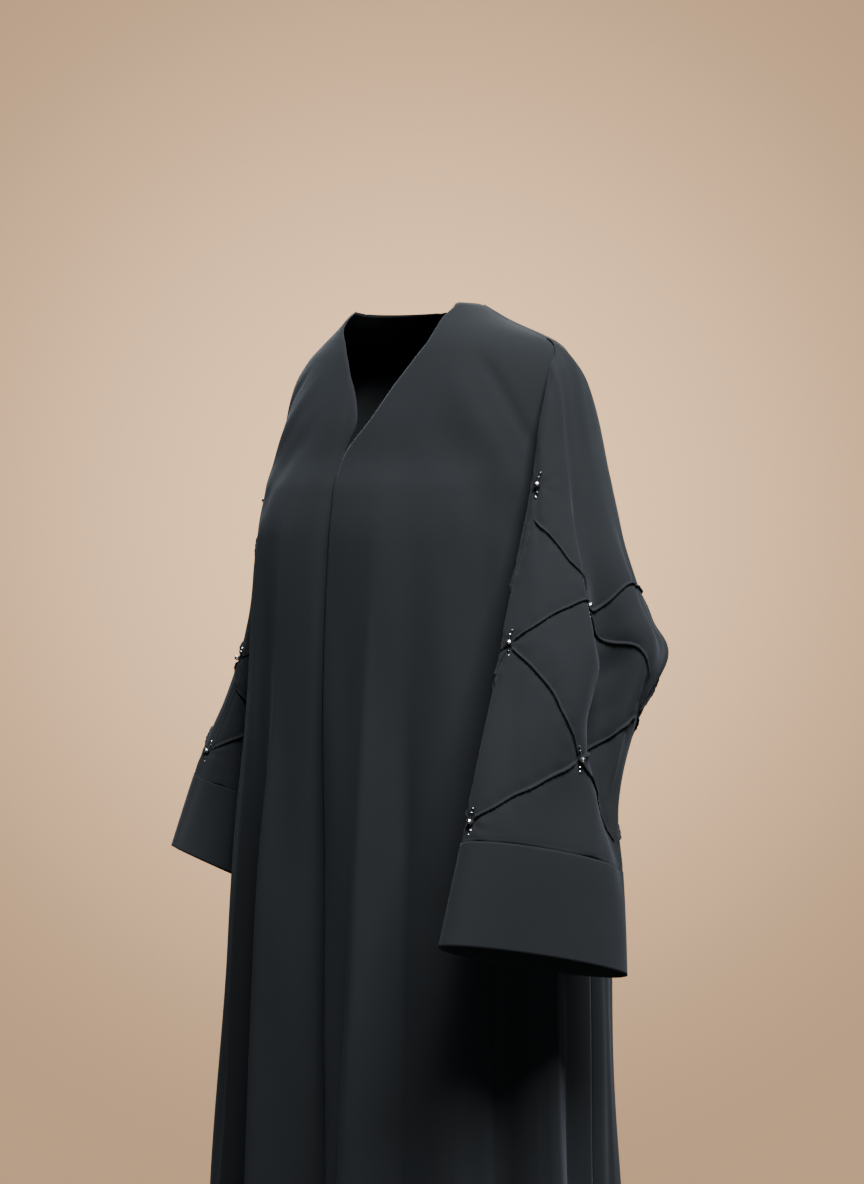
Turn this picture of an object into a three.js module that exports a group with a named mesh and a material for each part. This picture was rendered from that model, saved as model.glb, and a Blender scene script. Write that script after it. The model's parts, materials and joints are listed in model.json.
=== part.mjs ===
// A long black abaya as it stands when worn: open below, with wide sleeves, deep cuffs, and a
// trellis of narrow tucks with bead drops on both sleeves.
// Millimetres. +X is the wearer's left, -Y the front, +Z up. The origin lies between the
// shoulders, level with the base of the neck.
import * as THREE from 'three';
import { mergeVertices } from 'three/addons/utils/BufferGeometryUtils.js';

// Cloth
const WALL = 2;
const SLEEVE_WALL = 1.4;
const CUFF_WALL = 2.6;
const SEAM_GAP = 0.3;
const HEM_Z = -1430;

// Grids: columns on the outer and under side of a sleeve, a whole number for each step of the
// armhole's table, and rows from one sleeve section to the next
const OUTER_COLUMNS = 20;
const UNDER_COLUMNS = 12;
const ROWS_PER_SECTION = 2;

// Trellis and beads. SHORT_STEP is the part of a section or column over which a slope is read.
const TUCK_WIDTH = 4.4;
const TUCK_HEIGHT = 3;
const TUCK_CLEAR = 0.9;
const SHORT_STEP = 0.1;
const BEAD_RADIUS = 4;
const BEAD_CLEAR = 0.1;

const crepe = new THREE.MeshStandardMaterial({ color: 0x1b1d1f, roughness: 0.78, metalness: 0 });
const glass = new THREE.MeshStandardMaterial({ color: 0x0b0c0d, roughness: 0.12, metalness: 0 });

// Rings of the body: how far it reaches in front, to the left, behind and to the right at each
// height, and how much of each hanging fold shows there (0 to 1).
const BODY_RINGS = [
  { z: -8, front: 64, left: 84, back: 42, right: 72, fold: 0 },
  { z: -25, front: 74, left: 114, back: 64, right: 88, fold: 0 },
  { z: -47, front: 84, left: 162, back: 98, right: 118, fold: 0 },
  { z: -60, front: 90, left: 177, back: 107, right: 134, fold: 0 },
  { z: -85, front: 100, left: 186, back: 112, right: 152, fold: 0 },
  { z: -128, front: 117, left: 189, back: 120, right: 162, fold: 0 },
  { z: -168, front: 129, left: 190, back: 126, right: 171, fold: 0 },
  { z: -200, front: 143, left: 190, back: 128, right: 181, fold: 0.03 },
  { z: -252, front: 154, left: 190, back: 128, right: 190, fold: 0.1 },
  { z: -400, front: 162, left: 197, back: 128, right: 196, fold: 0.28 },
  { z: -600, front: 168, left: 216, back: 130, right: 220, fold: 0.55 },
  { z: -950, front: 170, left: 226, back: 138, right: 255, fold: 0.85 },
  { z: HEM_Z, front: 190, left: 275, back: 185, right: 298, fold: 1 },
];

// Hanging folds: degrees from the centre front at the top and at the hem (the wearer's left is
// positive), half width in degrees, and how far each stands out or, below zero, goes in.
const FOLDS = [
  { top: -58, hem: -62, width: 9, depth: 12 },
  { top: -38, hem: -36, width: 9, depth: -18 },
  { top: -19, hem: -19.5, width: 7, depth: 14 },
  { top: -3, hem: -3, width: 6.5, depth: -12 },
  { top: 19, hem: 6, width: 6.5, depth: 16 },
  { top: 31, hem: 19, width: 7, depth: -18 },
  { top: 43, hem: 35, width: 8, depth: 14 },
  { top: 57, hem: 53, width: 7, depth: -16 },
  { top: 68, hem: 66, width: 6.5, depth: 16 },
  { top: 81, hem: 80, width: 7, depth: -14 },
  { top: 97, hem: 96, width: 7, depth: 8 },
  { top: 112, hem: 111, width: 8, depth: 20 },
  { top: 129, hem: 128, width: 8, depth: -18 },
  { top: 146, hem: 146, width: 8, depth: 20 },
  { top: 164, hem: 163, width: 8, depth: -20 },
  { top: 181, hem: 181, width: 8, depth: 18 },
  { top: 198, hem: 199, width: 8, depth: -18 },
  { top: 216, hem: 217, width: 9, depth: 20 },
  { top: 235, hem: 235, width: 8, depth: -18 },
  { top: 254, hem: 253, width: 9, depth: 18 },
  { top: 274, hem: 273, width: 8, depth: -14 },
];

// Edge of the body at the armhole, in degrees from the centre front, before and behind
const ARMHOLE = [
  { z: -47, front: 90, back: 90 },
  { z: -60, front: 87, back: 94 },
  { z: -85, front: 81, back: 101 },
  { z: -120, front: 78.5, back: 105.5 },
  { z: -160, front: 75, back: 108 },
  { z: -200, front: 70, back: 111 },
  { z: -232, front: 74, back: 108 },
  { z: -252, front: 90, back: 90 },
];
const SLEEVE_SEAM_Z = -200;

// Edges of the two fronts, in degrees from the centre front: the neckline, and below it the
// edge of the left front, with the right front running on under it.
const FRONT_EDGES = [
  { z: -8, left: 60, right: -64 },
  { z: -25, left: 40, right: -40 },
  { z: -47, left: 26, right: -18 },
  { z: -85, left: 15.7, right: -4.6 },
  { z: -128, left: 8.2, right: 2.4 },
  { z: -168, left: 0, right: 0 },
  { z: -225, left: 0, right: 10 },
  { z: HEM_Z, left: 0, right: 10 },
];
const LAP_INSET = WALL + 0.6;
const LAP_FROM = -6;
const LAP_TO = -1;
const SIDE_DEG = 90;
const PINNED_DEG = 45;

// Heights of the rows below the armhole
const LOWER_LEVELS = [-300, -360, -430, -510, -600, -700, -810, -930, -1060, -1190, -1310, HEM_Z];
const BODY_LEVELS = [-8, -25, ...ARMHOLE.map((row) => row.z), ...LOWER_LEVELS];

// Sleeve sections from the armhole to the hem of the cuff. front and back are the two long edges;
// outer and under are how far the two sides stand off them, in the directions lift and drop
// (degrees above level, outward); crease makes the edges sharper and pinch (0 to 1) draws the
// cloth in beside them; fold_at and fold are the place (degrees round from the front edge) and the
// depth of the deep fold in the outer side.
const SLEEVE_LEFT = [
  { front_x: 177, front_y: -49, front_z: -200, back_x: 180, back_y: 50, back_z: -200,
    lift: 95, outer: 156, drop: -80, under: 52, crease: 1, pinch: 0.2, fold_at: 80, fold: 0 },
  { front_x: 187, front_y: -71, front_z: -222, back_x: 194, back_y: 62, back_z: -222,
    lift: 88, outer: 147, drop: -76, under: 40, crease: 1, pinch: 0.25, fold_at: 80, fold: 0 },
  { front_x: 190, front_y: -94, front_z: -262, back_x: 210, back_y: 64, back_z: -262,
    lift: 81, outer: 110, drop: -74, under: 24, crease: 1.1, pinch: 0.25, fold_at: 80, fold: 6 },
  { front_x: 194, front_y: -113, front_z: -300, back_x: 226, back_y: 60, back_z: -308,
    lift: 69, outer: 84, drop: -85, under: 18, crease: 1.3, pinch: 0.1, fold_at: 85, fold: 16 },
  { front_x: 198, front_y: -134, front_z: -345, back_x: 248, back_y: 58, back_z: -346,
    lift: 47, outer: 67, drop: -115, under: 16, crease: 1.5, pinch: 0, fold_at: 92, fold: 32 },
  { front_x: 202, front_y: -154, front_z: -387, back_x: 270, back_y: 54, back_z: -373,
    lift: 30, outer: 58, drop: -145, under: 20, crease: 1.6, pinch: 0, fold_at: 97, fold: 44 },
  { front_x: 205, front_y: -180, front_z: -440, back_x: 260, back_y: 8, back_z: -442,
    lift: 25, outer: 50, drop: -155, under: 26, crease: 1.5, pinch: 0, fold_at: 108, fold: 38 },
  { front_x: 205, front_y: -195, front_z: -482, back_x: 262, back_y: -26, back_z: -508,
    lift: 23, outer: 42, drop: -157, under: 30, crease: 1.2, pinch: 0, fold_at: 130, fold: 20 },
  { front_x: 205, front_y: -205, front_z: -517, back_x: 278, back_y: -44, back_z: -569,
    lift: 22, outer: 38, drop: -158, under: 34, crease: 1, pinch: 0, fold_at: 150, fold: 5 },
  { front_x: 204, front_y: -220, front_z: -560, back_x: 282, back_y: -46, back_z: -618,
    lift: 22, outer: 38, drop: -158, under: 36, crease: 1, pinch: 0, fold_at: 150, fold: 0 },
  { front_x: 203, front_y: -236, front_z: -606, back_x: 285, back_y: -47, back_z: -669,
    lift: 22, outer: 38, drop: -158, under: 38, crease: 1, pinch: 0, fold_at: 150, fold: 0 },
];
const SLEEVE_RIGHT = [
  { front_x: 176, front_y: -49, front_z: -200, back_x: 178, back_y: 50, back_z: -200,
    lift: 98, outer: 150, drop: -76, under: 52, crease: 1, pinch: 0.6, fold_at: 80, fold: 0 },
  { front_x: 182, front_y: -44, front_z: -224, back_x: 190, back_y: 68, back_z: -222,
    lift: 96, outer: 118, drop: -76, under: 38, crease: 1.2, pinch: 0.7, fold_at: 80, fold: 0 },
  { front_x: 195, front_y: -34, front_z: -268, back_x: 200, back_y: 82, back_z: -262,
    lift: 76, outer: 88, drop: -90, under: 24, crease: 1.2, pinch: 0.5, fold_at: 80, fold: 4 },
  { front_x: 202, front_y: -34, front_z: -315, back_x: 207, back_y: 94, back_z: -308,
    lift: 52, outer: 64, drop: -110, under: 20, crease: 1.2, pinch: 0.2, fold_at: 85, fold: 8 },
  { front_x: 205, front_y: -40, front_z: -362, back_x: 217, back_y: 104, back_z: -352,
    lift: 40, outer: 48, drop: -130, under: 16, crease: 1.2, pinch: 0, fold_at: 92, fold: 12 },
  { front_x: 207, front_y: -58, front_z: -405, back_x: 228, back_y: 106, back_z: -388,
    lift: 31, outer: 38, drop: -148, under: 14, crease: 1.2, pinch: 0, fold_at: 97, fold: 16 },
  { front_x: 210, front_y: -80, front_z: -450, back_x: 238, back_y: 90, back_z: -450,
    lift: 25, outer: 35, drop: -155, under: 14, crease: 1.2, pinch: 0, fold_at: 108, fold: 14 },
  { front_x: 212, front_y: -104, front_z: -490, back_x: 249, back_y: 62, back_z: -515,
    lift: 23, outer: 34, drop: -157, under: 16, crease: 1.1, pinch: 0, fold_at: 130, fold: 8 },
  { front_x: 213, front_y: -122, front_z: -524, back_x: 258, back_y: 42, back_z: -580,
    lift: 22, outer: 32, drop: -158, under: 17, crease: 1, pinch: 0, fold_at: 150, fold: 3 },
  { front_x: 211, front_y: -142, front_z: -557, back_x: 264, back_y: 27, back_z: -628,
    lift: 22, outer: 30, drop: -158, under: 18, crease: 1, pinch: 0, fold_at: 150, fold: 0 },
  { front_x: 208, front_y: -166, front_z: -594, back_x: 270, back_y: 12, back_z: -680,
    lift: 22, outer: 26, drop: -158, under: 19, crease: 1, pinch: 0, fold_at: 150, fold: 0 },
];
const CUFF_SECTION = 8;
const LAST_SECTION = 10;
const ARMHOLE_BLEND = 1;
const FOLD_HALF_WIDTH = 13;

// Points of the trellis of tucks on each sleeve, by column (outer ones from 0 at the front edge to
// 20 at the back edge, under ones on to 32, and on round) and section
const TRELLIS = {
  left: {
    shoulder: { column: 4, section: 1.9 },
    start: { column: 3, section: 2.15 },
    elbow: { column: 2, section: 4.1 },
    cuff: { column: 1, section: 7.5 },
    upper: { column: 9, section: 4 },
    lower: { column: 10, section: 6.45 },
    back_top: { column: 17, section: 3.5 },
    back: { column: 16, section: 5.8 },
    back_cuff: { column: 17, section: 7.6 },
    under_upper: { column: 26, section: 4 },
    under_lower: { column: 26, section: 6.4 },
  },
  right: {
    shoulder: { column: 4, section: 1.9 },
    start: { column: 3, section: 2.15 },
    elbow: { column: 3, section: 5 },
    cuff: { column: 1, section: 7.2 },
    upper: { column: 9, section: 4.2 },
    lower: { column: 10, section: 6.45 },
    back_top: { column: 17, section: 3.5 },
    back: { column: 16, section: 5.9 },
    back_cuff: { column: 17, section: 7.6 },
    under_upper: { column: 26, section: 4 },
    under_lower: { column: 26, section: 6.3 },
  },
};
const TUCKS = [
  ['start', 'upper'],
  ['elbow', 'upper'],
  ['elbow', 'lower'],
  ['cuff', 'lower'],
  ['upper', 'back_top'],
  ['upper', 'back'],
  ['lower', 'back'],
  ['lower', 'back_cuff'],
  ['start', 'under_upper'],
  ['elbow', 'under_upper'],
  ['elbow', 'under_lower'],
  ['cuff', 'under_lower'],
  ['back_top', 'under_upper'],
  ['back', 'under_upper'],
  ['back', 'under_lower'],
  ['back_cuff', 'under_lower'],
];
const BEADED = ['shoulder', 'elbow', 'cuff', 'upper', 'lower', 'under_upper', 'under_lower'];

const abaya = new THREE.Group();

const radians = THREE.MathUtils.degToRad;
const smooth = (from, to, value) => THREE.MathUtils.smoothstep(value, from, to);

// A row between the rows of a table, on a smooth curve through them. The key rises or falls.
function tableAt(table, key, at) {
  const rising = table[table.length - 1][key] > table[0][key] ? 1 : -1;
  let low = 0;
  while (low < table.length - 2 && rising * (at - table[low + 1][key]) > 0) low += 1;
  const [a, b] = [table[low], table[low + 1]];
  const before = table[Math.max(low - 1, 0)];
  const after = table[Math.min(low + 2, table.length - 1)];
  const span = b[key] - a[key];
  const t = THREE.MathUtils.clamp((at - a[key]) / span, 0, 1);
  const row = {};
  for (const name of Object.keys(a)) {
    const slopeA = (b[name] - before[name]) / (b[key] - before[key]);
    const slopeB = (after[name] - a[name]) / (after[key] - a[key]);
    row[name] = (2 * t ** 3 - 3 * t ** 2 + 1) * a[name] + (t ** 3 - 2 * t ** 2 + t) * span * slopeA
      + (3 * t ** 2 - 2 * t ** 3) * b[name] + (t ** 3 - t ** 2) * span * slopeB;
  }
  row[key] = at;
  return row;
}

// The row at a height read along straight lines, as the edges of a panel run
function straightAt(table, at) {
  let low = 0;
  while (low < table.length - 2 && at < table[low + 1].z) low += 1;
  const [a, b] = [table[low], table[low + 1]];
  const t = THREE.MathUtils.clamp((at - a.z) / (b.z - a.z), 0, 1);
  const row = {};
  for (const name of Object.keys(a)) row[name] = THREE.MathUtils.lerp(a[name], b[name], t);
  return row;
}

// How far the hanging folds move the cloth out at one place, in millimetres
function foldDepth(deg, z, strength) {
  const down = z / HEM_Z;
  let depth = 0;
  for (const fold of FOLDS) {
    const centre = THREE.MathUtils.lerp(fold.top, fold.hem, down);
    const away = THREE.MathUtils.euclideanModulo(deg - centre + 180, 360) - 180;
    depth += fold.depth * strength * Math.exp(-((away / fold.width) ** 2));
  }
  return depth;
}

// A point of the body's outer side
function bodyPoint(deg, z) {
  const ring = tableAt(BODY_RINGS, 'z', z);
  const across = Math.sin(radians(deg));
  const ahead = Math.cos(radians(deg));
  const side = across > 0 ? ring.left : ring.right;
  const depth = ahead > 0 ? ring.front : ring.back;
  const out = new THREE.Vector3(across / side, -ahead / depth, 0).normalize();
  const point = new THREE.Vector3(side * across, -depth * ahead, z);
  return point.addScaledVector(out, foldDepth(deg, z, ring.fold));
}

function bodyNormal(deg, z) {
  const round = bodyPoint(deg + 0.5, z).sub(bodyPoint(deg - 0.5, z));
  const down = bodyPoint(deg, z - 2).sub(bodyPoint(deg, z + 2));
  return down.cross(round).normalize();
}

// A closed wall from a grid of outer and inner points. The grid may close round on itself.
function wallGeometry(outer, inner, closed = false) {
  const rows = outer.length;
  const columns = outer[0].length;
  const count = rows * columns;
  const positions = [...outer.flat(), ...inner.flat()].flatMap((point) => point.toArray());
  const index = [];
  const quad = (a, b, c, d) => index.push(a, b, c, a, c, d);
  const at = (i, j) => i * columns + (j % columns);
  const lastColumn = closed ? columns : columns - 1;
  for (let i = 0; i < rows - 1; i += 1) {
    for (let j = 0; j < lastColumn; j += 1) {
      quad(at(i, j), at(i + 1, j), at(i + 1, j + 1), at(i, j + 1));
      quad(count + at(i, j), count + at(i, j + 1), count + at(i + 1, j + 1), count + at(i + 1, j));
    }
  }
  for (let j = 0; j < lastColumn; j += 1) {
    quad(at(0, j), at(0, j + 1), count + at(0, j + 1), count + at(0, j));
    quad(at(rows - 1, j), count + at(rows - 1, j), count + at(rows - 1, j + 1), at(rows - 1, j + 1));
  }
  if (!closed) {
    for (let i = 0; i < rows - 1; i += 1) {
      quad(at(i, 0), count + at(i, 0), count + at(i + 1, 0), at(i + 1, 0));
      const end = columns - 1;
      quad(at(i, end), at(i + 1, end), count + at(i + 1, end), count + at(i, end));
    }
  }
  const geometry = new THREE.BufferGeometry();
  geometry.setAttribute('position', new THREE.Float32BufferAttribute(positions, 3));
  geometry.setIndex(index);
  return geometry;
}

// The same solid on the wearer's other side
function mirrored(geometry) {
  const copy = geometry.clone();
  copy.scale(-1, 1, 1);
  const index = copy.getIndex();
  for (let i = 0; i < index.count; i += 3) {
    const second = index.getX(i + 1);
    index.setX(i + 1, index.getX(i + 2));
    index.setX(i + 2, second);
  }
  return copy;
}

function add(name, geometry, material) {
  const mesh = new THREE.Mesh(geometry, material);
  mesh.name = name;
  abaya.add(mesh);
}

// Moves the points at an edge towards their neighbours inside the panel
function trim(edge, inside, distance) {
  edge.forEach((point, i) => {
    point.lerp(inside[i], distance / point.distanceTo(inside[i]));
  });
}

function column(grid, j) {
  return grid.map((row) => row[j]);
}

const inArmhole = (z) => z < ARMHOLE[0].z && z > ARMHOLE[ARMHOLE.length - 1].z;
const sideFront = (z) => (inArmhole(z) ? straightAt(ARMHOLE, z).front : SIDE_DEG);
const sideBack = (z) => (inArmhole(z) ? straightAt(ARMHOLE, z).back : SIDE_DEG);
const lapInset = (deg) => LAP_INSET * smooth(LAP_FROM, LAP_TO, deg);

// The columns of a panel at one height: from stop to stop, in degrees, with so many columns each
function columnDegrees(stops, counts) {
  const degrees = [stops[0]];
  counts.forEach((count, k) => {
    for (let j = 1; j <= count; j += 1) degrees.push(THREE.MathUtils.lerp(stops[k], stops[k + 1], j / count));
  });
  return degrees;
}

// A panel of the body. stopsAt gives its edges and the stops between them for each height.
function bodyPanel(name, stopsAt, counts, insetAt, seams) {
  const outer = [];
  const inner = [];
  for (const z of BODY_LEVELS) {
    const outerRow = [];
    const innerRow = [];
    for (const deg of columnDegrees(stopsAt(z), counts)) {
      const normal = bodyNormal(deg, z);
      const point = bodyPoint(deg, z);
      outerRow.push(point.clone().addScaledVector(normal, -insetAt(deg)));
      innerRow.push(point.clone().addScaledVector(normal, -insetAt(deg) - WALL));
    }
    outer.push(outerRow);
    inner.push(innerRow);
  }
  const last = outer[0].length - 1;
  for (const grid of [outer, inner]) {
    if (seams.includes('start')) trim(column(grid, 0), column(grid, 1), SEAM_GAP / 2);
    if (seams.includes('end')) trim(column(grid, last), column(grid, last - 1), SEAM_GAP / 2);
  }
  add(name, wallGeometry(outer, inner), crepe);
}

const leftEdge = (z) => straightAt(FRONT_EDGES, z).left;
const rightEdge = (z) => straightAt(FRONT_EDGES, z).right;
const middle = (edge, side) => Math.max(PINNED_DEG, (edge + side) / 2);
bodyPanel('front_left', (z) => [leftEdge(z), middle(leftEdge(z), sideFront(z)), sideFront(z)], [9, 9],
  () => 0, ['end']);
bodyPanel('front_right', (z) => [-sideFront(z), -middle(-rightEdge(z), sideFront(z)), rightEdge(z)], [9, 11],
  lapInset, ['start']);
bodyPanel('back_left', (z) => [sideBack(z), 180 - PINNED_DEG, 180], [8, 8], () => 0, ['start', 'end']);
bodyPanel('back_right', (z) => [180, 180 + PINNED_DEG, 360 - sideBack(z)], [8, 8], () => 0, ['start', 'end']);

// The loop of the armhole on one side, seen as if it were the left one: from the front edge of
// the sleeve over the shoulder to its back edge, then under the arm and back.
function armholeLoops(side) {
  const edge = (z, which) => {
    const point = bodyPoint(side * straightAt(ARMHOLE, z)[which], z);
    point.x *= side;
    return point;
  };
  const high = ARMHOLE.filter((row) => row.z >= SLEEVE_SEAM_Z).map((row) => row.z);
  const low = ARMHOLE.filter((row) => row.z <= SLEEVE_SEAM_Z).map((row) => row.z);
  const overFront = high.toReversed().map((z) => edge(z, 'front'));
  const overBack = high.slice(1).map((z) => edge(z, 'back'));
  const underBack = low.map((z) => edge(z, 'back'));
  const underFront = low.toReversed().slice(1).map((z) => edge(z, 'front'));
  return { over: [...overFront, ...overBack], under: [...underBack, ...underFront] };
}

// A point between the points of a chain, which it passes at even steps
function alongChain(chain, share) {
  const at = share * (chain.length - 1);
  const low = Math.min(Math.floor(at), chain.length - 2);
  return chain[low].clone().lerp(chain[low + 1], at - low);
}

function sleevePoint(sections, loops, deg, section) {
  const row = tableAt(sections, 'number', section);
  const front = new THREE.Vector3(row.front_x, row.front_y, row.front_z);
  const back = new THREE.Vector3(row.back_x, row.back_y, row.back_z);
  const half = front.clone().sub(back).multiplyScalar(0.5);
  const level = new THREE.Vector3(-half.y, half.x, 0).normalize();
  const turn = Math.sin(radians(deg));
  const angle = radians(turn > 0 ? row.lift : row.drop);
  const out = level.multiplyScalar(Math.cos(angle));
  out.z = Math.sin(angle);
  const reach = turn > 0 ? row.outer : row.under;
  const fold = turn > 0 ? row.fold * Math.exp(-(((deg - row.fold_at) / FOLD_HALF_WIDTH) ** 2)) : 0;
  const stand = reach * Math.abs(turn) ** row.crease - fold;
  const even = turn > 0 ? 1 - deg / 90 : deg / 90 - 3;
  const along = THREE.MathUtils.lerp(Math.cos(radians(deg)), deg === 0 ? 1 : even, row.pinch);
  const point = front.add(back).multiplyScalar(0.5);
  point.addScaledVector(half, along).addScaledVector(out, stand);
  if (section >= ARMHOLE_BLEND) return point;
  const onLoop = deg <= 180 ? alongChain(loops.over, deg / 180) : alongChain(loops.under, (deg - 180) / 180);
  return onLoop.lerp(point, smooth(0, ARMHOLE_BLEND, section));
}

// All columns of a sleeve in degrees round from the front edge
const SLEEVE_DEGREES = [];
for (let j = 0; j < OUTER_COLUMNS; j += 1) SLEEVE_DEGREES.push((180 * j) / OUTER_COLUMNS);
for (let j = 0; j < UNDER_COLUMNS; j += 1) SLEEVE_DEGREES.push(180 + (180 * j) / UNDER_COLUMNS);

// Grids of outer and inner points of the whole sleeve with its cuff, closed round
function sleeveGrids(sections, loops, wall) {
  const outer = [];
  for (let i = 0; i <= LAST_SECTION * ROWS_PER_SECTION; i += 1) {
    const section = i / ROWS_PER_SECTION;
    outer.push(SLEEVE_DEGREES.map((deg) => sleevePoint(sections, loops, deg, section)));
  }
  const round = SLEEVE_DEGREES.length;
  const inner = outer.map((row, i) => row.map((point, j) => {
    const above = outer[Math.max(i - 1, 0)][j];
    const below = outer[Math.min(i + 1, outer.length - 1)][j];
    const before = row[(j + round - 1) % round];
    const after = row[(j + 1) % round];
    const down = below.clone().sub(above);
    const inward = down.cross(before.clone().sub(after)).normalize();
    const edgeA = after.clone().sub(point).normalize();
    const edgeB = before.clone().sub(point).normalize();
    const sharp = edgeA.dot(edgeB);
    const between = edgeA.add(edgeB).normalize();
    if (between.dot(inward) > 0) inward.lerp(between, smooth(-0.9, -0.3, sharp)).normalize();
    return point.clone().addScaledVector(inward, wall / Math.sqrt(Math.max((1 - sharp) / 2, 0.3)));
  }));
  return { outer, inner };
}

// Part of the grid, copied: rows from first to last, columns from start to end, round if need be
function cutGrid(grid, first, last, start, end) {
  const round = grid[0].length;
  const rows = grid.slice(first, last + 1);
  return rows.map((row) => {
    const cut = [];
    for (let j = start; j <= end; j += 1) cut.push(row[j % round].clone());
    return cut;
  });
}

function sleevePanel(grids, start, end) {
  const last = CUFF_SECTION * ROWS_PER_SECTION;
  const outer = cutGrid(grids.outer, 0, last, start, end);
  const inner = cutGrid(grids.inner, 0, last, start, end);
  for (const grid of [outer, inner]) {
    const width = grid[0].length;
    trim(column(grid, 0), column(grid, 1), SEAM_GAP / 2);
    trim(column(grid, width - 1), column(grid, width - 2), SEAM_GAP / 2);
    trim(grid[0], grid[1], SEAM_GAP);
    trim(grid[last], grid[last - 1], SEAM_GAP / 2);
  }
  return wallGeometry(outer, inner);
}

function cuffGeometry(grids) {
  const first = CUFF_SECTION * ROWS_PER_SECTION;
  const last = LAST_SECTION * ROWS_PER_SECTION;
  const round = SLEEVE_DEGREES.length;
  const outer = cutGrid(grids.outer, first, last, 0, round - 1);
  const inner = cutGrid(grids.inner, first, last, 0, round - 1);
  for (const grid of [outer, inner]) trim(grid[0], grid[1], SEAM_GAP / 2);
  return wallGeometry(outer, inner, true);
}

// A point of the sleeve's faceted outer side by column and section, moved out from the cloth.
// Each face of the grid is two triangles that meet along its falling diagonal.
function onCloth(grids, columnAt, section, distance) {
  const row = section * ROWS_PER_SECTION;
  const round = SLEEVE_DEGREES.length;
  const i = Math.min(Math.floor(row), grids.outer.length - 2);
  const j = Math.floor(columnAt);
  const down = row - i;
  const across = columnAt - j;
  const read = (grid) => {
    const corner = (a, b) => grid[i + a][(j + b) % round];
    const [turn, least, most] = down > across ? [corner(1, 0), across, down] : [corner(0, 1), down, across];
    const point = corner(0, 0).clone().multiplyScalar(1 - most);
    return point.addScaledVector(turn, most - least).addScaledVector(corner(1, 1), least);
  };
  const point = read(grids.outer);
  const out = point.clone().sub(read(grids.inner)).normalize();
  return point.addScaledVector(out, distance);
}

// A tuck between two points of the trellis: a ridge with its base just clear of the cloth. Its
// rings lie on and midway between the sleeve's columns, and it stops short of both points.
function tuckGeometry(grids, from, to) {
  const round = SLEEVE_DEGREES.length;
  const start = Math.abs(to.column - from.column) > round / 2 ? from.column + round : from.column;
  const turns = Math.abs(to.column - start);
  const step = Math.sign(to.column - start);
  const slope = (to.section - from.section) / (to.column - start);
  const rings = [];
  for (let k = 2; k <= 2 * turns - 2; k += 1) {
    const at = start + (step * k) / 2;
    const section = from.section + slope * (at - start);
    const here = onCloth(grids, at, section, 0);
    const down = onCloth(grids, at, section + SHORT_STEP, 0).sub(here);
    const along = onCloth(grids, at + SHORT_STEP, section + slope * SHORT_STEP, 0).sub(here);
    const half = (SHORT_STEP * TUCK_WIDTH) / 2 / down.length() / Math.sin(down.angleTo(along));
    const above = onCloth(grids, at, section - half, TUCK_CLEAR);
    const below = onCloth(grids, at, section + half, TUCK_CLEAR);
    const top = onCloth(grids, at, section, TUCK_CLEAR + TUCK_HEIGHT);
    rings.push(step > 0 ? [above, below, top] : [below, above, top]);
  }
  const index = [];
  for (let i = 0; i < rings.length - 1; i += 1) {
    for (let k = 0; k < 3; k += 1) {
      const [a, b] = [i * 3 + k, i * 3 + ((k + 1) % 3)];
      index.push(a, b + 3, b, a, a + 3, b + 3);
    }
  }
  const end = (rings.length - 1) * 3;
  index.push(0, 1, 2, end, end + 2, end + 1);
  const geometry = new THREE.BufferGeometry();
  const positions = rings.flat().flatMap((point) => point.toArray());
  geometry.setAttribute('position', new THREE.Float32BufferAttribute(positions, 3));
  geometry.setIndex(index);
  return geometry;
}

function beadGeometry(grids, spot) {
  const bead = new THREE.IcosahedronGeometry(BEAD_RADIUS, 0);
  bead.deleteAttribute('normal');
  bead.deleteAttribute('uv');
  const centre = onCloth(grids, spot.column, spot.section, BEAD_RADIUS + BEAD_CLEAR);
  return mergeVertices(bead).translate(centre.x, centre.y, centre.z);
}

for (const side of [1, -1]) {
  const name = side > 0 ? 'left' : 'right';
  const sections = (side > 0 ? SLEEVE_LEFT : SLEEVE_RIGHT).map((row, number) => ({ number, ...row }));
  const loops = armholeLoops(side);
  const place = (geometry) => (side > 0 ? geometry : mirrored(geometry));
  const grids = sleeveGrids(sections, loops, SLEEVE_WALL);
  const cuffGrids = sleeveGrids(sections, loops, CUFF_WALL);
  add(`sleeve_outer_${name}`, place(sleevePanel(grids, 0, OUTER_COLUMNS)), crepe);
  add(`sleeve_under_${name}`, place(sleevePanel(grids, OUTER_COLUMNS, SLEEVE_DEGREES.length)), crepe);
  add(`cuff_${name}`, place(cuffGeometry(cuffGrids)), crepe);

  const trellis = TRELLIS[name];
  for (const [from, to] of TUCKS) {
    add(`tuck_${name}_${from}_${to}`, place(tuckGeometry(grids, trellis[from], trellis[to])), crepe);
  }
  for (const spot of BEADED) add(`bead_${name}_${spot}`, place(beadGeometry(grids, trellis[spot])), glass);
}

export default abaya;
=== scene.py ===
# %% [markdown]
# This notebook dresses a long black robe, an abaya, that stands as if it were worn. The plain
# solids of the garment are loaded first. Each piece of cloth is then made again from the sizes of
# its solid, as a thin sheet with soft folds, and the tucks, seams and beads are laid on it.

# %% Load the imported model
import json
import math

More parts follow.
